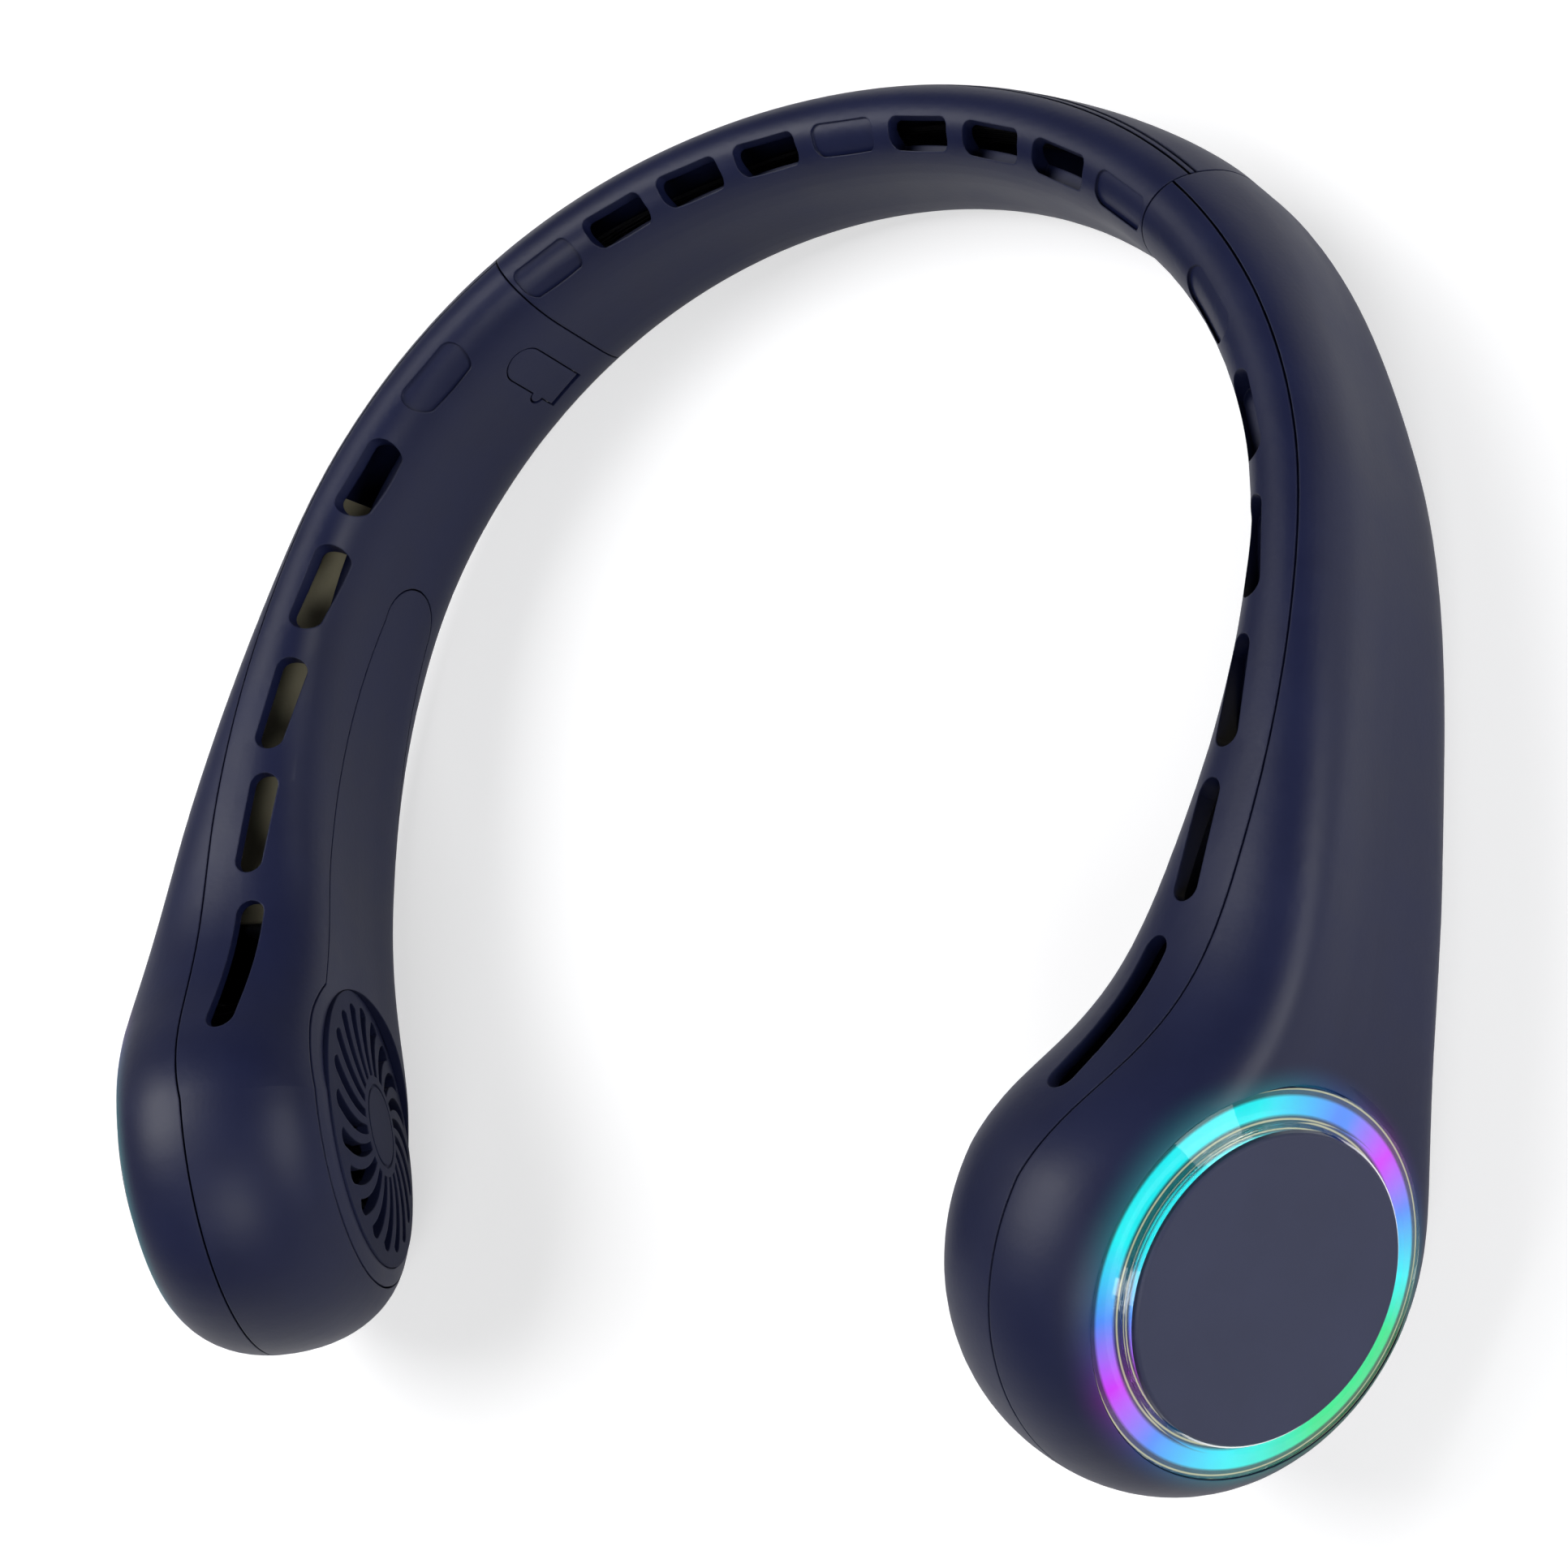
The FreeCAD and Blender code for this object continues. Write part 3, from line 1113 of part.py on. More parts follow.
flange_radius = mm.button_radius + mm.button_flange
flange_top = lowest_over(left_inside, button_spot, flange_radius) - mm.button_seat_gap
button_top = face_over(left_outside, button_spot) + mm.button_proud
button_solid = Part.makeCylinder(mm.button_radius, button_top - button_base,
                                 button_spot + Vector(0, 0, button_base))
rim_edges = [edge for edge in button_solid.Edges if edge.BoundBox.ZMin > button_top - 0.01]
button_solid = button_solid.makeFillet(mm.button_proud * 0.75, rim_edges).fuse(Part.makeCylinder(
    flange_radius, mm.button_flange_thickness,
    button_spot + Vector(0, 0, flange_top - mm.button_flange_thickness)))
node(feature("power_button", button_solid), "power_button", port)

button_hole = Part.makeCylinder(mm.button_radius + mm.button_gap, button_top + margin - plunger_base,
                                button_spot + Vector(0, 0, plunger_base))
drilled_shell = cut("drilled_shell", left_shell_blank, feature("button_hole", button_hole, port))
posts = []
post_pilots = []
for index, place in enumerate(screw_spots):
    # each post ends inside the shell's wall
    length = lowest_over(left_outside, place, mm.boss_radius) - mm.wall / 2 - board_face
    foot = place + Vector(0, 0, board_face)
    posts.append(feature(f"board_post_{index}", Part.makeCylinder(mm.boss_radius, length, foot), port))
    post_pilots.append(Part.makeCylinder(mm.screw_radius, mm.screw_grip + mm.fit_gap, foot))
posted_shell = fuse("posted_shell", [drilled_shell] + posts)
post_pilot_tool = feature("post_pilot_tool", Part.makeCompound(post_pilots), port)
node(cut("left_outer_shell", posted_shell, post_pilot_tool), "left_outer_shell")

# Build, test and write

doc.recompute()
faults = []
for obj in doc.Objects:
    if "Invalid" in obj.State or "Error" in obj.State:
        faults.append(f"{obj.Name}: {obj.State}")
for obj in nodes:
    shape = obj.Shape
    if shape.isNull() or not shape.isValid() or not shape.Solids:
        faults.append(f"{obj.Label}: bad shape")
if faults:
    raise RuntimeError("; ".join(faults))

os.makedirs("parts", exist_ok=True)
for obj in nodes:
    obj.Shape.exportStep(f"parts/{obj.Label}.step")
whole = Part.makeCompound([obj.Shape for obj in nodes]).optimalBoundingBox()
print(f"{len(nodes)} pieces, {whole.XLength:.1f} x {whole.YLength:.1f} x {whole.ZLength:.1f} mm")
for title, place in (("right pod", pod_place), ("port", port)):
    print(title, "frame at", [round(value, 4) for value in place.Base], "outward",
          [round(value, 5) for value in place.Rotation.multVec(Vector(0, 0, 1))], "up",
          [round(value, 5) for value in place.Rotation.multVec(Vector(0, 1, 0))])
print("hinge pin at", [round(value, 4) for value in port.multVec(Vector(0, pin_y, pin_z))])
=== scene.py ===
import json
import math

import bpy
from mathutils import Matrix, Vector


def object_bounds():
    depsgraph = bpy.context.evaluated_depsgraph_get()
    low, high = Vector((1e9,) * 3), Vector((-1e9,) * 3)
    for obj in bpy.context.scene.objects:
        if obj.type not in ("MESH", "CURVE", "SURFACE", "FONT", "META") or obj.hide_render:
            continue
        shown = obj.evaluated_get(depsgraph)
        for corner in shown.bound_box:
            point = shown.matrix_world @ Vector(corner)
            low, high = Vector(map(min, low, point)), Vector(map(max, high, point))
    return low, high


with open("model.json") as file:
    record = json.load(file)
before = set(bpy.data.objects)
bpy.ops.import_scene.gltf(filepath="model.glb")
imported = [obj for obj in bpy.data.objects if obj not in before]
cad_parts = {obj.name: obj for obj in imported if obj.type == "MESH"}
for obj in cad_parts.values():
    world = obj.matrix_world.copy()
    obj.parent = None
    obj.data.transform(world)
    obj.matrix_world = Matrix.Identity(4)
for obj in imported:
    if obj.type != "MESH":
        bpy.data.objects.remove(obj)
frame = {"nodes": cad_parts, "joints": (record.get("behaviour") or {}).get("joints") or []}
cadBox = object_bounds()
cadPieces = frame["nodes"]
print("frame loaded:", len(cadPieces), "pieces")

black = (0, 0, 0, 1)
white = (1, 1, 1, 1)


# helpers for node trees

def tone(red, green, blue):
    # screen colour 0 to 255 as a linear colour
    steps = [value / 255 for value in (red, green, blue)]
    return tuple(v / 12.92 if v <= 0.04045 else ((v + 0.055) / 1.055) ** 2.4 for v in steps) + (1.0,)


def join(tree, sockets, sources):
    # a source is a number, a colour or the socket that feeds the input
    for key, source in sources.items():
        if isinstance(source, bpy.types.NodeSocket):
            tree.links.new(source, sockets[key])
        else:
            sockets[key].default_value = source


def put(tree, kind, inputs=None, **settings):
    node = tree.nodes.new(kind)
    for key, value in settings.items():
        setattr(node, key, value)
    join(tree, node.inputs, inputs or {})
    return node


def maths(tree, operation, first, second=0.0, clamp=False):
    node = put(tree, "ShaderNodeMath", {0: first, 1: second}, operation=operation, use_clamp=clamp)
    return node.outputs[0]


def dotted(tree, first, second):
    node = put(tree, "ShaderNodeVectorMath", {0: first, 1: second}, operation="DOT_PRODUCT")
    return node.outputs["Value"]


def spread(tree, value, low, high, start=0.0, end=1.0):
    # maps a value onto another range
    node = put(tree, "ShaderNodeMapRange", {"Value": value, "From Min": low, "From Max": high,
                                            "To Min": start, "To Max": end})
    return node.outputs["Result"]


def mixed(tree, share, first, second):
    # colour mix; sockets 0, 6 and 7 are the share and the two colours
    return put(tree, "ShaderNodeMix", {0: share, 6: first, 7: second}, data_type="RGBA").outputs[2]


def objectSpace(tree):
    return put(tree, "ShaderNodeTexCoord").outputs["Object"]


def newGroup(name, inputs, outputs):
    tree = bpy.data.node_groups.new(name, "ShaderNodeTree")
    for label, kind, start in inputs:
        tree.interface.new_socket(label, in_out="INPUT", socket_type=kind).default_value = start
    for label, kind in outputs:
        tree.interface.new_socket(label, in_out="OUTPUT", socket_type=kind)
    return tree, tree.nodes.new("NodeGroupInput").outputs, tree.nodes.new("NodeGroupOutput").inputs


def placeGroup(tree, group, inputs):
    return put(tree, "ShaderNodeGroup", inputs, node_tree=group).outputs


# effects that several finishes share

grainMix = {
    "pores": 1500.0, "poreSoftness": 0.6, "poreShare": 0.7,
    "fineScale": 1.9, "fineDetail": 2.0, "fineShare": 0.3,    # scale as a multiple of the pores'
    "clouds": 45.0, "cloudDetail": 5.0, "cloudRoughness": 0.6, "cloudRange": (0.3, 0.7),
}


def makeMouldedGrain():
    tree, given, result = newGroup(
        "mouldedGrain",
        [("Pores", "NodeSocketFloat", grainMix["pores"]), ("Clouds", "NodeSocketFloat", grainMix["clouds"])],
        [("Height", "NodeSocketFloat"), ("Mottle", "NodeSocketFloat")])
    space = objectSpace(tree)
    pores = put(tree, "ShaderNodeTexVoronoi", {
        "Vector": space, "Scale": given["Pores"], "Smoothness": grainMix["poreSoftness"]},
        feature="SMOOTH_F1")
    fine = put(tree, "ShaderNodeTexNoise", {
        "Vector": space, "Scale": maths(tree, "MULTIPLY", given["Pores"], grainMix["fineScale"]),
        "Detail": grainMix["fineDetail"]})
    clouds = put(tree, "ShaderNodeTexNoise", {
        "Vector": space, "Scale": given["Clouds"], "Detail": grainMix["cloudDetail"],
        "Roughness": grainMix["cloudRoughness"]})
    deep = maths(tree, "MULTIPLY", pores.outputs["Distance"], grainMix["poreShare"])
    shallow = maths(tree, "MULTIPLY", fine.outputs["Fac"], grainMix["fineShare"])
    join(tree, result, {"Height": maths(tree, "ADD", deep, shallow),
                        "Mottle": spread(tree, clouds.outputs["Fac"], *grainMix["cloudRange"])})
    return tree


edgeRounding = {"radius": 0.0003, "gain": 4.0, "samples": 3}


def makeSoftEdge():
    tree, given, result = newGroup(
        "softEdge",
        [("Radius", "NodeSocketFloat", edgeRounding["radius"]),
         ("Gain", "NodeSocketFloat", edgeRounding["gain"])],
        [("Edge", "NodeSocketFloat"), ("Normal", "NodeSocketVector")])
    bevel = put(tree, "ShaderNodeBevel", {"Radius": given["Radius"]}, samples=edgeRounding["samples"])
    rounded = bevel.outputs["Normal"]
    plain = put(tree, "ShaderNodeNewGeometry").outputs["Normal"]
    turned = maths(tree, "SUBTRACT", 1.0, dotted(tree, rounded, plain))
    edge = maths(tree, "MULTIPLY", turned, given["Gain"], clamp=True)
    join(tree, result, {"Edge": edge, "Normal": rounded})
    return tree


def makePodSpace():
    # turn and distance of a point about a pod's axis, and how far its face looks along that axis
    tree, given, result = newGroup(
        "podSpace",
        [("Centre", "NodeSocketVector", (0, 0, 0)), ("Side", "NodeSocketVector", (1, 0, 0)),
         ("Up", "NodeSocketVector", (0, 0, 1)), ("Out", "NodeSocketVector", (0, 1, 0))],
        [("Turn", "NodeSocketFloat"), ("Radius", "NodeSocketFloat"), ("Facing", "NodeSocketFloat")])
    offset = put(tree, "ShaderNodeVectorMath", {0: objectSpace(tree), 1: given["Centre"]},
                 operation="SUBTRACT")
    across, upward = [dotted(tree, offset.outputs["Vector"], given[axis]) for axis in ("Side", "Up")]
    turn = maths(tree, "DIVIDE", maths(tree, "ARCTAN2", upward, across), 2 * math.pi)
    squares = [maths(tree, "MULTIPLY", part, part) for part in (across, upward)]
    normal = put(tree, "ShaderNodeNewGeometry").outputs["Normal"]
    join(tree, result, {"Turn": maths(tree, "FRACT", maths(tree, "ADD", turn, 1.0)),
                        "Radius": maths(tree, "SQRT", maths(tree, "ADD", *squares)),
                        "Facing": dotted(tree, normal, given["Out"])})
    return tree


ringLight = {
    "colours": {"cyan": tone(0, 244, 250), "blue": tone(76, 142, 255), "violet": tone(214, 30, 255),
                "green": tone(0, 232, 138)},
    "turns": [(0.0, "blue"), (0.085, "cyan"), (0.26, "cyan"), (0.33, "blue"), (0.395, "violet"),
              (0.465, "blue"), (0.555, "cyan"), (0.65, "green"), (0.755, "green"), (0.805, "cyan"),
              (0.865, "blue"), (0.925, "violet"), (0.985, "blue")],
    "bandMiddle": 0.0225, "bandHalf": 0.00125, "bandFade": 0.0002,    # metres from the pod's axis
    # the thin pale lines at two radii are painted highlights of the lens edges
    "glintRadii": (0.02458, 0.02074), "glintCore": 0.00008, "glintHalf": 0.00016,
    "glintTone": tone(226, 222, 172), "glintStrength": 0.6,
    "strength": 1.05, "spill": 0.12,
    # painted glow: emission on the shell just outside the ring, standing in for the ring's light falling
    # there
    "paintedGlowStart": 0.0252, "paintedGlowReach": 0.003, "paintedGlowShare": 0.1, "paintedGlowFacing": (0.05, 0.3),
}


def makeRingColours():
    tree, given, result = newGroup("ringColours", [("Turn", "NodeSocketFloat", 0.0)],
                                   [("Colour", "NodeSocketColor")])
    ramp = put(tree, "ShaderNodeValToRGB", {"Fac": given["Turn"]})
    stops = ramp.color_ramp.elements
    for place, name in ringLight["turns"][1:]:
        stops.new(place).color = ringLight["colours"][name]
    for end in (stops[0], stops[len(stops) - 1]):
        end.color = ringLight["colours"][ringLight["turns"][0][1]]
    join(tree, result, {"Colour": ramp.outputs["Color"]})
    return tree


mouldedGrain = makeMouldedGrain()
softEdge = makeSoftEdge()
podSpace = makePodSpace()
ringColours = makeRingColours()
print("shared effects made")


# the pods' axes, from the blowers' joints

def podAxes(side):
    joint = next(j for j in frame["joints"] if j["name"] == f"{side}_blower_spin")
    out = Vector(joint["axis"]).normalized()
    up = (Vector((0, 0, 1)) - out * out.z).normalized()
    return {"Centre": Vector(joint["pos_m"]), "Side": up.cross(out), "Up": up, "Out": out}


pods = {side: podAxes(side) for side in ("left", "right")}


# finishes

def newFinish(name):
    finish = bpy.data.materials.new(name)
    finish.use_nodes = True
    tree = finish.node_tree
    tree.nodes.clear()
    shader = put(tree, "ShaderNodeBsdfPrincipled")
    put(tree, "ShaderNodeOutputMaterial", {"Surface": shader.outputs[0]})
    return finish, tree, shader.inputs


def feed(tree, sockets, **sources):
    join(tree, sockets, {label.replace("_", " "): source for label, source in sources.items()})


def grained(tree, look):
    return placeGroup(tree, mouldedGrain, {"Pores": look["pores"], "Clouds": look["clouds"]})


def edged(tree, look):
    return placeGroup(tree, softEdge, {"Radius": look["edgeRadius"], "Gain": look["edgeGain"]})


def sheen(tree, mask, look, low=0.0, high=1.0):
    # roughness from a look's glossy to its dull
    return spread(tree, mask, low, high, look["glossy"], look["dull"])


def bumped(tree, height, depth, normal=None):
    inputs = {"Height": height, "Distance": depth}
    if normal is not None:
        inputs["Normal"] = normal
    return put(tree, "ShaderNodeBump", inputs).outputs["Normal"]


def satinPlastic(name, look, pod=None):
    # moulded plastic: fine pores, cloudy gloss, a painted highlight on rounded edges; near a ring, a painted
    # glow of the ring's light
    finish, tree, shader = newFinish(name)
    grain = grained(tree, look)
    edge = edged(tree, look)
    base = mixed(tree, grain["Mottle"], look["dark"], look["light"])
    # the pale edge colour mixed in along rounded edges is a painted highlight
    highlitEdge = maths(tree, "MULTIPLY", edge["Edge"], look["edgeHighlightShare"])
    feed(tree, shader,
         Base_Color=mixed(tree, highlitEdge, base, look["edge"]),
         Roughness=sheen(tree, grain["Mottle"], look),
         Normal=bumped(tree, grain["Height"], look["depth"], edge["Normal"]),
         Specular_IOR_Level=look["shine"])
    # painted glow: the shell near the ring emits the ring's colours, standing in for light from the ring
    if pod:
        space = placeGroup(tree, podSpace, pods[pod])
        colour = placeGroup(tree, ringColours, {"Turn": space["Turn"]})["Colour"]
        start = ringLight["paintedGlowStart"]
        near = spread(tree, space["Radius"], start, start + ringLight["paintedGlowReach"], 1.0, 0.0)
        outside = spread(tree, space["Facing"], *ringLight["paintedGlowFacing"], 0.0, ringLight["paintedGlowShare"])
        share = maths(tree, "MULTIPLY", maths(tree, "MULTIPLY", near, near), outside)
        feed(tree, shader, Emission_Color=mixed(tree, share, black, colour), Emission_Strength=1.0)
    return finish


# the edge colour and its share paint a highlight along rounded edges
navySatin = {
    "dark": tone(17, 22, 53), "light": tone(21, 27, 61), "edge": tone(84, 90, 120),
    "pores": 1500.0, "clouds": 45.0, "depth": 0.00001,
    "edgeRadius": 0.0003, "edgeGain": 3.0, "edgeHighlightShare": 0.2,
    "glossy": 0.42, "dull": 0.5, "shine": 0.32,
}
slateDisc = dict(navySatin, dark=tone(48, 52, 76), light=tone(54, 58, 84), pores=2400.0, depth=0.000006)
deepNavy = dict(navySatin, dark=tone(15, 20, 48), light=tone(19, 25, 56), glossy=0.58, dull=0.66, shine=0.2)
buttonNavy = dict(navySatin, dark=tone(30, 36, 74), light=tone(36, 42, 82), pores=2200.0)
ductPlastic = dict(navySatin, dark=tone(166, 160, 134), light=tone(186, 180, 152), edge=tone(200, 195, 172),
                   glossy=0.45, dull=0.6, depth=0.00002)
framePlastic = dict(navySatin, dark=tone(40, 41, 46), light=tone(52, 53, 58), glossy=0.45, dull=0.6)
wheelPlastic = dict(navySatin, dark=tone(22, 23, 28), light=tone(31, 32, 38), glossy=0.34, dull=0.46)

milkyRing = {"border": tone(34, 38, 52), "band": tone(24, 27, 32), "dimmest": 0.92,
             "pores": 3200.0, "clouds": 260.0, "depth": 0.00001, "glossy": 0.35, "dull": 0.5}


def ringGuide(name, pod):
    # milky ring: a lit band between two dim borders, each with a thin pale line that is a painted highlight
    # of the lens edges
    finish, tree, shader = newFinish(name)
    space = placeGroup(tree, podSpace, pods[pod])
    colour = placeGroup(tree, ringColours, {"Turn": space["Turn"]})["Colour"]
    grain = grained(tree, milkyRing)
    half, fade = ringLight["bandHalf"], ringLight["bandFade"]
    offset = maths(tree, "ABSOLUTE", maths(tree, "SUBTRACT", space["Radius"], ringLight["bandMiddle"]))
    band = spread(tree, offset, half - fade, half + fade, 1.0, 0.0)
    lit = maths(tree, "MULTIPLY", band, spread(tree, grain["Mottle"], 0.0, 1.0, milkyRing["dimmest"], 1.0))
    glow = mixed(tree, lit, mixed(tree, ringLight["spill"], black, colour), colour)
    # each thin pale line is a painted highlight: emission standing in for light caught on the lens edges
    for radius in ringLight["glintRadii"]:
        away = maths(tree, "ABSOLUTE", maths(tree, "SUBTRACT", space["Radius"], radius))
        line = spread(tree, away, ringLight["glintCore"], ringLight["glintHalf"],
                      ringLight["glintStrength"], 0.0)
        glow = mixed(tree, line, glow, ringLight["glintTone"])
    feed(tree, shader,
         Base_Color=mixed(tree, lit, milkyRing["border"], milkyRing["band"]),
         Roughness=sheen(tree, grain["Mottle"], milkyRing),
         Emission_Color=glow,
         Emission_Strength=ringLight["strength"],
         Normal=bumped(tree, grain["Height"], milkyRing["depth"]))
    return finish


clearRing = {"clear": tone(252, 253, 252), "cloudy": tone(242, 246, 246), "bend": 1.28,
             "pores": 2600.0, "clouds": 90.0, "glossy": 0.01, "dull": 0.04}


def clearLens(name):
    finish, tree, shader = newFinish(name)
    grain = grained(tree, clearRing)
    feed(tree, shader,
         Base_Color=mixed(tree, grain["Mottle"], clearRing["clear"], clearRing["cloudy"]),
         Roughness=sheen(tree, grain["Mottle"], clearRing),
         Transmission_Weight=1.0,
         IOR=clearRing["bend"])
    return finish


def barMetal(name, look):
    # turned or stamped metal: fine drawn lines, stains and a painted highlight on the edges
    finish, tree, shader = newFinish(name)
    stretched = put(tree, "ShaderNodeMapping", {"Vector": objectSpace(tree), "Scale": look["draw"]})
    drawn = put(tree, "ShaderNodeTexNoise", {
        "Vector": stretched.outputs["Vector"], "Scale": 1.0, "Detail": look["lineDetail"]})
    lines = drawn.outputs["Fac"]
    grain = grained(tree, look)
    edge = edged(tree, look)
    stained = mixed(tree, grain["Mottle"], look["dark"], look["light"])
    # the pale edge colour mixed in along the edges is a painted highlight
    highlitEdge = maths(tree, "MULTIPLY", edge["Edge"], look["edgeHighlightShare"])
    height = maths(tree, "ADD", lines, maths(tree, "MULTIPLY", grain["Height"], look["poreShare"]))
    feed(tree, shader,
         Base_Color=mixed(tree, highlitEdge, stained, look["edge"]),
         Metallic=1.0,
         Roughness=sheen(tree, lines, look, *look["lineRange"]),
         Normal=bumped(tree, height, look["depth"], edge["Normal"]))
    return finish


# the edge colour and its share paint a highlight along the edges
platedSteel = {
    "dark": tone(150, 152, 156), "light": tone(186, 187, 190), "edge": tone(226, 227, 230),
    "draw": (900.0, 900.0, 9000.0), "lineDetail": 4.0, "lineRange": (0.3, 0.7),
    "pores": 2500.0, "poreShare": 0.2, "clouds": 180.0, "depth": 0.000006,
    "edgeRadius": 0.00012, "edgeGain": 3.0, "edgeHighlightShare": 0.4,
    "glossy": 0.22, "dull": 0.38,
}
sinteredBronze = dict(platedSteel, dark=tone(120, 88, 48), light=tone(166, 128, 78),
                      edge=tone(206, 172, 120), draw=(2500.0, 2500.0, 2500.0), pores=5200.0, poreShare=1.2,
                      glossy=0.38, dull=0.55)
ferriteDark = dict(platedSteel, dark=tone(46, 46, 50), light=tone(66, 66, 70), edge=tone(104, 104, 108),
                   draw=(3000.0, 3000.0, 12000.0), pores=6000.0, poreShare=0.8, glossy=0.45, dull=0.62)
socketSteel = dict(platedSteel, draw=(6000.0, 900.0, 900.0), glossy=0.16, dull=0.3)

copperWire = {"gap": tone(96, 42, 18), "wire": tone(196, 108, 58),
              "stain": tone(140, 66, 30), "stainShare": 0.3,
              "wires": 700.0, "waver": 0.4, "pores": 4000.0, "clouds": 300.0, "depth": 0.00006,
              "metal": 0.85, "lacquer": 0.4, "glossy": 0.22, "dull": 0.36}


def woundCopper(name):
    # enamelled wire laid side by side
    finish, tree, shader = newFinish(name)
    laid = put(tree, "ShaderNodeTexWave", {
        "Vector": objectSpace(tree), "Scale": copperWire["wires"], "Distortion": copperWire["waver"]},
        wave_type="BANDS", bands_direction="DIAGONAL")
    wires = laid.outputs["Fac"]
    grain = grained(tree, copperWire)
    copper = mixed(tree, wires, copperWire["gap"], copperWire["wire"])
    stain = maths(tree, "MULTIPLY", grain["Mottle"], copperWire["stainShare"])
    feed(tree, shader,
         Base_Color=mixed(tree, stain, copper, copperWire["stain"]),
         Metallic=copperWire["metal"],
         Roughness=sheen(tree, grain["Mottle"], copperWire),
         Normal=bumped(tree, wires, copperWire["depth"]),
         Coat_Weight=copperWire["lacquer"])
    return finish


def boardLacquer(name, look):
    # lacquered board: tracks under the lacquer, pale printed pads
    finish, tree, shader = newFinish(name)
    space = objectSpace(tree)
    bricks = put(tree, "ShaderNodeTexBrick", {
        "Vector": space, "Scale": look["tracks"], "Mortar Size": look["trackWidth"],
        "Color1": black, "Color2": black, "Mortar": white})
    tracks = bricks.outputs["Color"]
    pads = put(tree, "ShaderNodeTexVoronoi", {"Vector": space, "Scale": look["pads"]})
    pad = spread(tree, pads.outputs["Distance"], *look["padRange"], 1.0, 0.0)
    grain = grained(tree, look)
    lacquer = mixed(tree, grain["Mottle"], look["dark"], look["light"])
    tracked = mixed(tree, maths(tree, "MULTIPLY", tracks, look["trackShare"]), lacquer, look["track"])
    feed(tree, shader,
         Base_Color=mixed(tree, pad, tracked, look["pad"]),
         Metallic=maths(tree, "MULTIPLY", pad, look["padMetal"]),
         Roughness=sheen(tree, grain["Mottle"], look),
         Normal=bumped(tree, maths(tree, "ADD", tracks, pad), look["depth"]))
    return finish


greenBoard = {
    "dark": tone(14, 66, 36), "light": tone(22, 84, 46), "track": tone(44, 122, 66),
    "pad": tone(196, 186, 150),
    "tracks": 260.0, "trackWidth": 0.035, "trackShare": 0.5,
    "pads": 330.0, "padRange": (0.16, 0.2), "padMetal": 0.8,
    "pores": 2600.0, "clouds": 160.0, "depth": 0.00004, "glossy": 0.28, "dull": 0.42,
}
whiteBoard = dict(greenBoard, dark=tone(206, 208, 206), light=tone(224, 225, 222), track=tone(180, 182, 178))

cellFoil = {"dark": tone(168, 170, 174), "light": tone(198, 200, 204), "metal": 0.9,
            "creases": 130.0, "creaseDetail": 6.0, "crumple": 1.4, "creaseRange": (0.3, 0.7),
            "pores": 2400.0, "clouds": 70.0, "depth": 0.00025, "glossy": 0.24, "dull": 0.44}


def pouchFoil(name):
    # creased metal foil round a cell
    finish, tree, shader = newFinish(name)
    crumpled = put(tree, "ShaderNodeTexNoise", {
        "Vector": objectSpace(tree), "Scale": cellFoil["creases"], "Detail": cellFoil["creaseDetail"],
        "Distortion": cellFoil["crumple"]})
    creases = crumpled.outputs["Fac"]
    grain = grained(tree, cellFoil)
    feed(tree, shader,
         Base_Color=mixed(tree, grain["Mottle"], cellFoil["dark"], cellFoil["light"]),
         Metallic=cellFoil["metal"],
         Roughness=sheen(tree, creases, cellFoil, *cellFoil["creaseRange"]),
         Normal=bumped(tree, creases, cellFoil["depth"]))
    return finish


cableStrip = {"gap": tone(20, 20, 23), "strand": tone(46, 46, 50), "strands": 320.0,
              "pores": 1800.0, "clouds": 90.0, "depth": 0.00018, "glossy": 0.45, "dull": 0.6}


def flatCable(name):
    # strip of parallel insulated strands
    finish, tree, shader = newFinish(name)
    laid = put(tree, "ShaderNodeTexWave", {
        "Vector": objectSpace(tree), "Scale": cableStrip["strands"], "Distortion": 0.0},
        wave_type="BANDS", bands_direction="Z")
    strands = laid.outputs["Fac"]
    grain = grained(tree, cableStrip)
    feed(tree, shader,
         Base_Color=mixed(tree, strands, cableStrip["gap"], cableStrip["strand"]),
         Roughness=sheen(tree, grain["Mottle"], cableStrip),
         Normal=bumped(tree, strands, cableStrip["depth"]))
    return finish


lampCase = {"window": tone(232, 208, 96), "case": tone(236, 236, 228), "edgeRadius": 0.0003, "edgeGain": 6.0,
            "pores": 5200.0, "clouds": 700.0, "depth": 0.00001, "glossy": 0.2, "dull": 0.34}


def lampResin(name):
    # pale case round a yellow window
    finish, tree, shader = newFinish(name)
    grain = grained(tree, lampCase)
    edge = edged(tree, lampCase)
    feed(tree, shader,
         Base_Color=mixed(tree, edge["Edge"], lampCase["window"], lampCase["case"]),
         Roughness=sheen(tree, grain["Mottle"], lampCase),
         Normal=bumped(tree, grain["Height"], lampCase["depth"], edge["Normal"]))
    return finish


def dress(finish, *names):
    for name in names:
        piece = cadPieces[name]
        piece.data.materials.clear()
        piece.data.materials.append(finish)


def pair(name):
    return f"left_{name}", f"right_{name}"


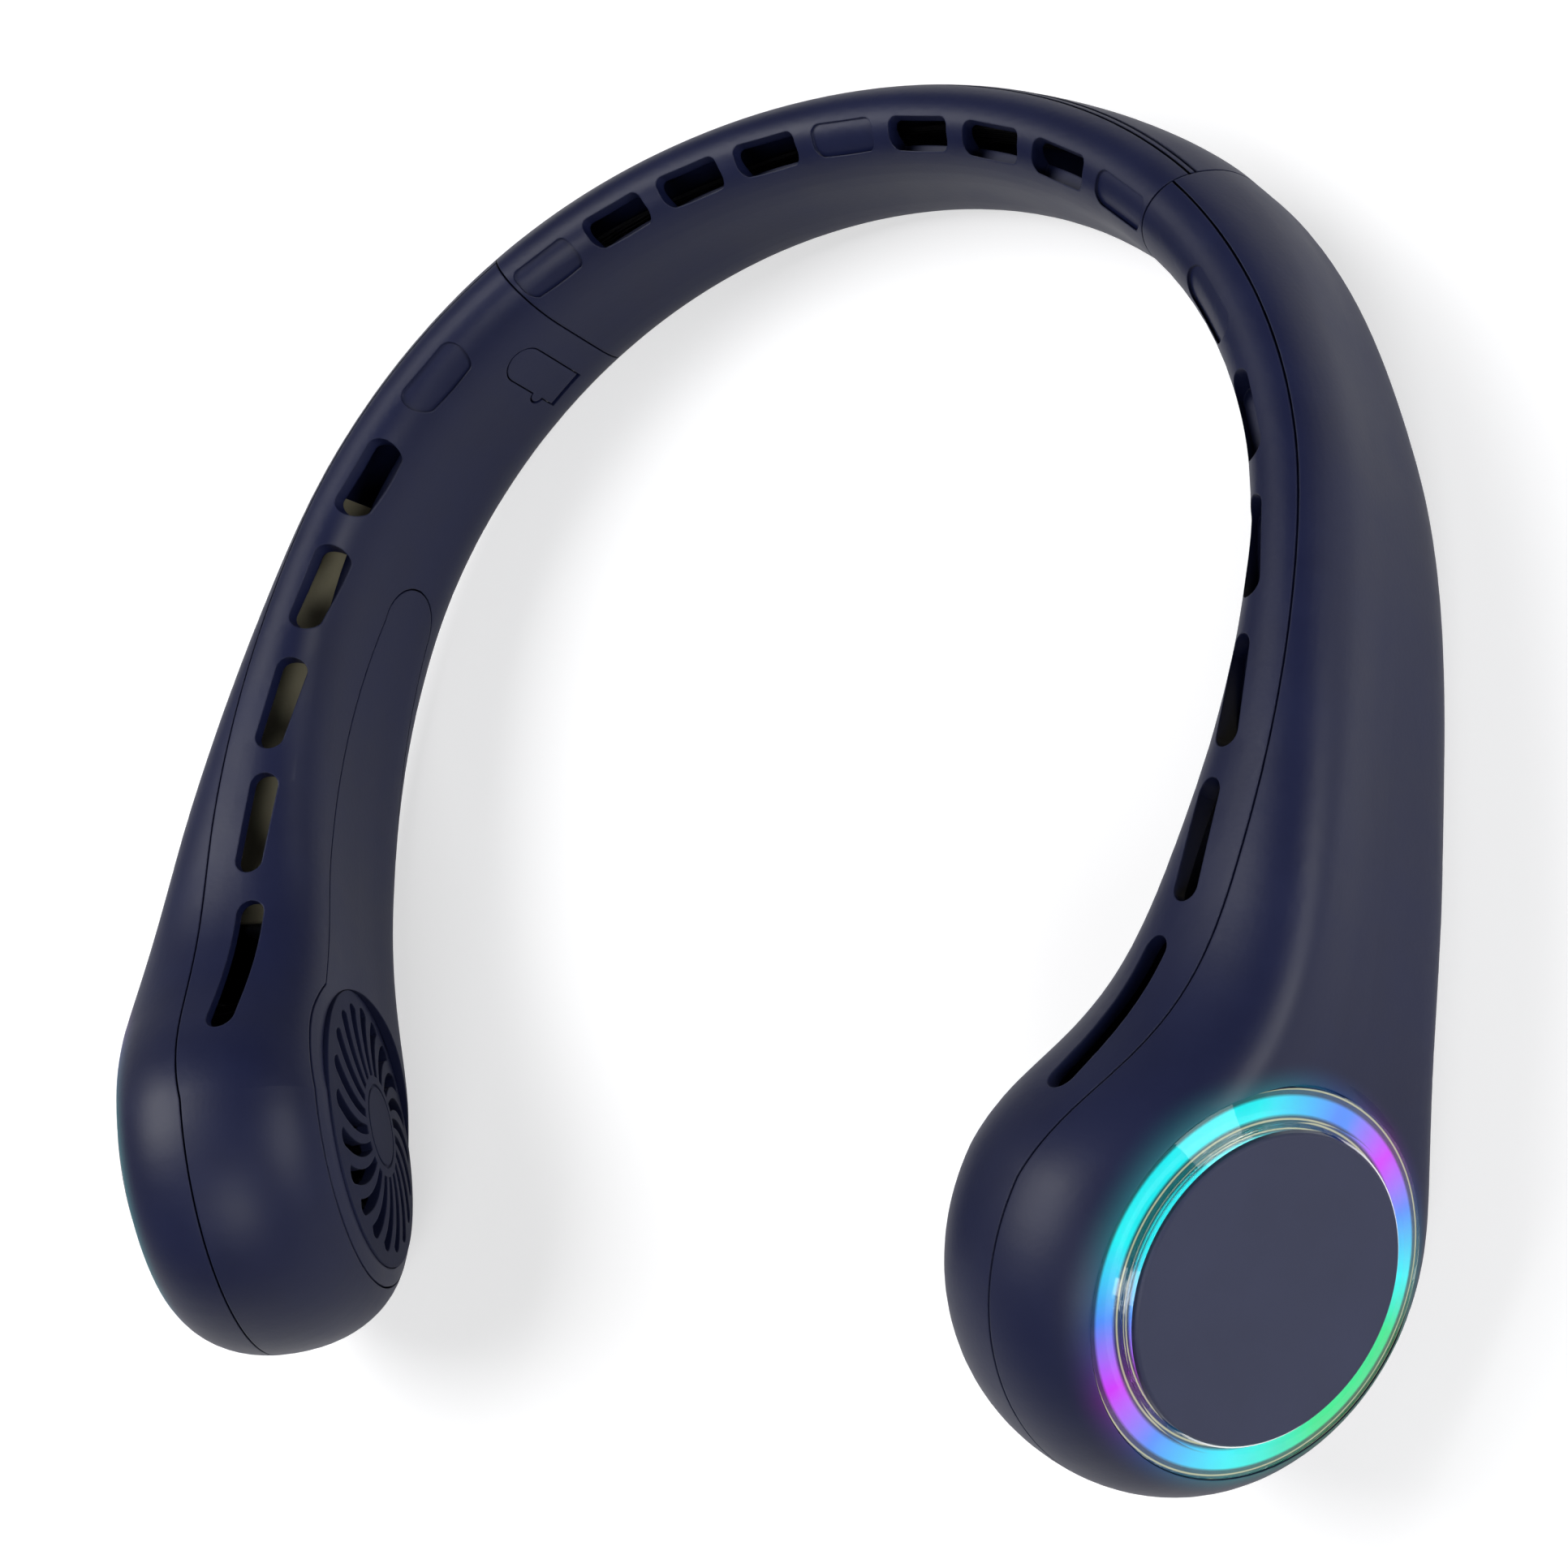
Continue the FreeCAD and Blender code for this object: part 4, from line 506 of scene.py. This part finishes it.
bodyNavy = satinPlastic("navySatinBody", navySatin)
dress(bodyNavy, *pair("vent_frame"), *pair("inner_cover"), "neckband_channel", "neckband_outer_cover",
      "port_cover")
for side in ("left", "right"):
    dress(satinPlastic(f"navySatinShell_{side}", navySatin, side), f"{side}_outer_shell")
    dress(satinPlastic(f"slateDisc_{side}", slateDisc), f"{side}_side_disc")
    dress(ringGuide(f"ringGuide_{side}", side), f"{side}_light_guide")
dress(satinPlastic("grilleNavy", deepNavy), *pair("intake_grille"))
dress(satinPlastic("buttonNavy", buttonNavy), "power_button")
dress(satinPlastic("ductPlastic", ductPlastic), *pair("duct_wall"))
dress(satinPlastic("framePlastic", framePlastic), *pair("joint_sleeve"), *pair("motor_plate"))
dress(satinPlastic("wheelPlastic", wheelPlastic), *pair("impeller"), "power_switch")
dress(clearLens("clearRing"), *pair("light_lens"))
dress(barMetal("platedSteel", platedSteel), *pair("rotor_cup"), *pair("shaft"), *pair("plate_screws"),
      "board_screws", "port_cover_pin")
dress(barMetal("socketSteel", socketSteel), "usb_socket")
dress(barMetal("sinteredBronze", sinteredBronze), *pair("bearing"))
dress(barMetal("ferriteDark", ferriteDark), *pair("magnet_ring"), *pair("stator"))
dress(woundCopper("woundCopper"), *pair("stator_coils"))
dress(boardLacquer("greenBoard", greenBoard), "control_board")
dress(boardLacquer("whiteBoard", whiteBoard), *pair("led_board"))
dress(lampResin("lampResin"), *pair("led_chips"))
dress(pouchFoil("pouchFoil"), *pair("battery"))
dress(flatCable("flatCable"), "harness_ribbon")
print("finishes given to the pieces")


# floor, light and camera

studio = {
    "floorSize": 12.0, "floorDrop": 0.0001,
    "floorDark": tone(196, 196, 198), "floorLight": tone(202, 202, 203),
    "floorLift": 0.58, "mirrorShare": 0.45, "whiteFrom": 0.45, "whiteTo": 1.0,    # metres from the middle
    "hazeScale": 3.0, "hazeDetail": 3.0, "hazeRange": (0.3, 0.7), "glossy": 0.75, "dull": 0.85, "shine": 0.1,
    "skyTop": 0.1, "skyEdge": 0.2, "skyTopHeight": 0.6,
    "whiteSkyLow": 0.04, "whiteSkyHigh": 0.1,    # height of the pale rim above the horizon
    "boxes": [("mainBox", (-0.55, 0.05, 1.05), 0.7, 10.5),    # name, place, side in metres, watts
              ("fillBox", (0.45, -0.8, 0.9), 0.4, 4.2),
              ("sideBox", (0.95, 0.12, 0.36), 0.45, 4.5)],
}


def seenRays(tree):
    # rays that show the backdrop and carry none of its light to the fan; a satin mirror image is dimmer
    rays = put(tree, "ShaderNodeLightPath").outputs
    mirrored = maths(tree, "MULTIPLY", rays["Is Glossy Ray"], studio["mirrorShare"])
    return maths(tree, "MAXIMUM", rays["Is Camera Ray"],
                 maths(tree, "MAXIMUM", mirrored, rays["Is Transmission Ray"]))


def makeFloor():
    low = cadBox[0][2] - studio["floorDrop"]
    half = studio["floorSize"] / 2
    mesh = bpy.data.meshes.new("floor")
    corners = [(-half, -half, low), (half, -half, low), (half, half, low), (-half, half, low)]
    mesh.from_pydata(corners, [], [(0, 1, 2, 3)])
    floor = bpy.data.objects.new("floor", mesh)
    bpy.context.scene.collection.objects.link(floor)
    finish, tree, shader = newFinish("paleFloor")
    space = objectSpace(tree)
    clouds = put(tree, "ShaderNodeTexNoise", {
        "Vector": space, "Scale": studio["hazeScale"], "Detail": studio["hazeDetail"]})
    haze = clouds.outputs["Fac"]
    reach = put(tree, "ShaderNodeVectorMath", {0: space}, operation="LENGTH").outputs["Value"]
    lift = spread(tree, reach, studio["whiteFrom"], studio["whiteTo"], studio["floorLift"], 1.0)
    feed(tree, shader,
         Base_Color=mixed(tree, haze, studio["floorDark"], studio["floorLight"]),
         Roughness=sheen(tree, haze, studio, *studio["hazeRange"]),
         Specular_IOR_Level=studio["shine"],
         Emission_Color=mixed(tree, seenRays(tree), black, white),
         Emission_Strength=lift)
    mesh.materials.append(finish)


def makeSky():
    world = bpy.data.worlds.new("studioSky")
    bpy.context.scene.world = world
    world.use_nodes = True
    tree = world.node_tree
    tree.nodes.clear()
    # dim overhead, paler toward the horizon
    ways = put(tree, "ShaderNodeTexCoord").outputs["Generated"]
    height = put(tree, "ShaderNodeSeparateXYZ", {0: ways}).outputs["Z"]
    light = spread(tree, height, 0.0, studio["skyTopHeight"], studio["skyEdge"], studio["skyTop"])
    rim = spread(tree, height, studio["whiteSkyLow"], studio["whiteSkyHigh"], 1.0, 0.0)
    strength = maths(tree, "MAXIMUM", light, maths(tree, "MULTIPLY", rim, seenRays(tree)))
    back = put(tree, "ShaderNodeBackground", {"Color": white, "Strength": strength})
    put(tree, "ShaderNodeOutputWorld", {"Surface": back.outputs[0]})


def makeBoxes():
    for name, place, size, watts in studio["boxes"]:
        lamp = bpy.data.lights.new(name, "AREA")
        lamp.shape = "SQUARE"
        lamp.size = size
        lamp.energy = watts
        holder = bpy.data.objects.new(name, lamp)
        holder.location = place
        holder.rotation_euler = (-Vector(place)).to_track_quat("-Z", "Y").to_euler()
        bpy.context.scene.collection.objects.link(holder)


viewPoint = {"place": (0.22235, -0.09726, 0.35686), "right": (0.842911, 0.142736, -0.518775),
             "up": (-0.005672, 0.966475, 0.256699), "lens": 63.49, "sensor": 36.0, "nearest": 0.01}


def makeCamera():
    camera = bpy.data.cameras.new("photoView")
    camera.sensor_fit = "HORIZONTAL"
    camera.sensor_width = viewPoint["sensor"]
    camera.lens = viewPoint["lens"]
    camera.clip_start = viewPoint["nearest"]
    holder = bpy.data.objects.new("photoView", camera)
    right = Vector(viewPoint["right"]).normalized()
    back = right.cross(Vector(viewPoint["up"])).normalized()
    turn = Matrix((right, back.cross(right), back)).transposed()
    holder.matrix_world = Matrix.Translation(viewPoint["place"]) @ turn.to_4x4()
    bpy.context.scene.collection.objects.link(holder)
    bpy.context.scene.camera = holder


makeFloor()
makeSky()
makeBoxes()
makeCamera()
bpy.context.scene.view_settings.view_transform = "Standard"
print("floor, light and camera placed")
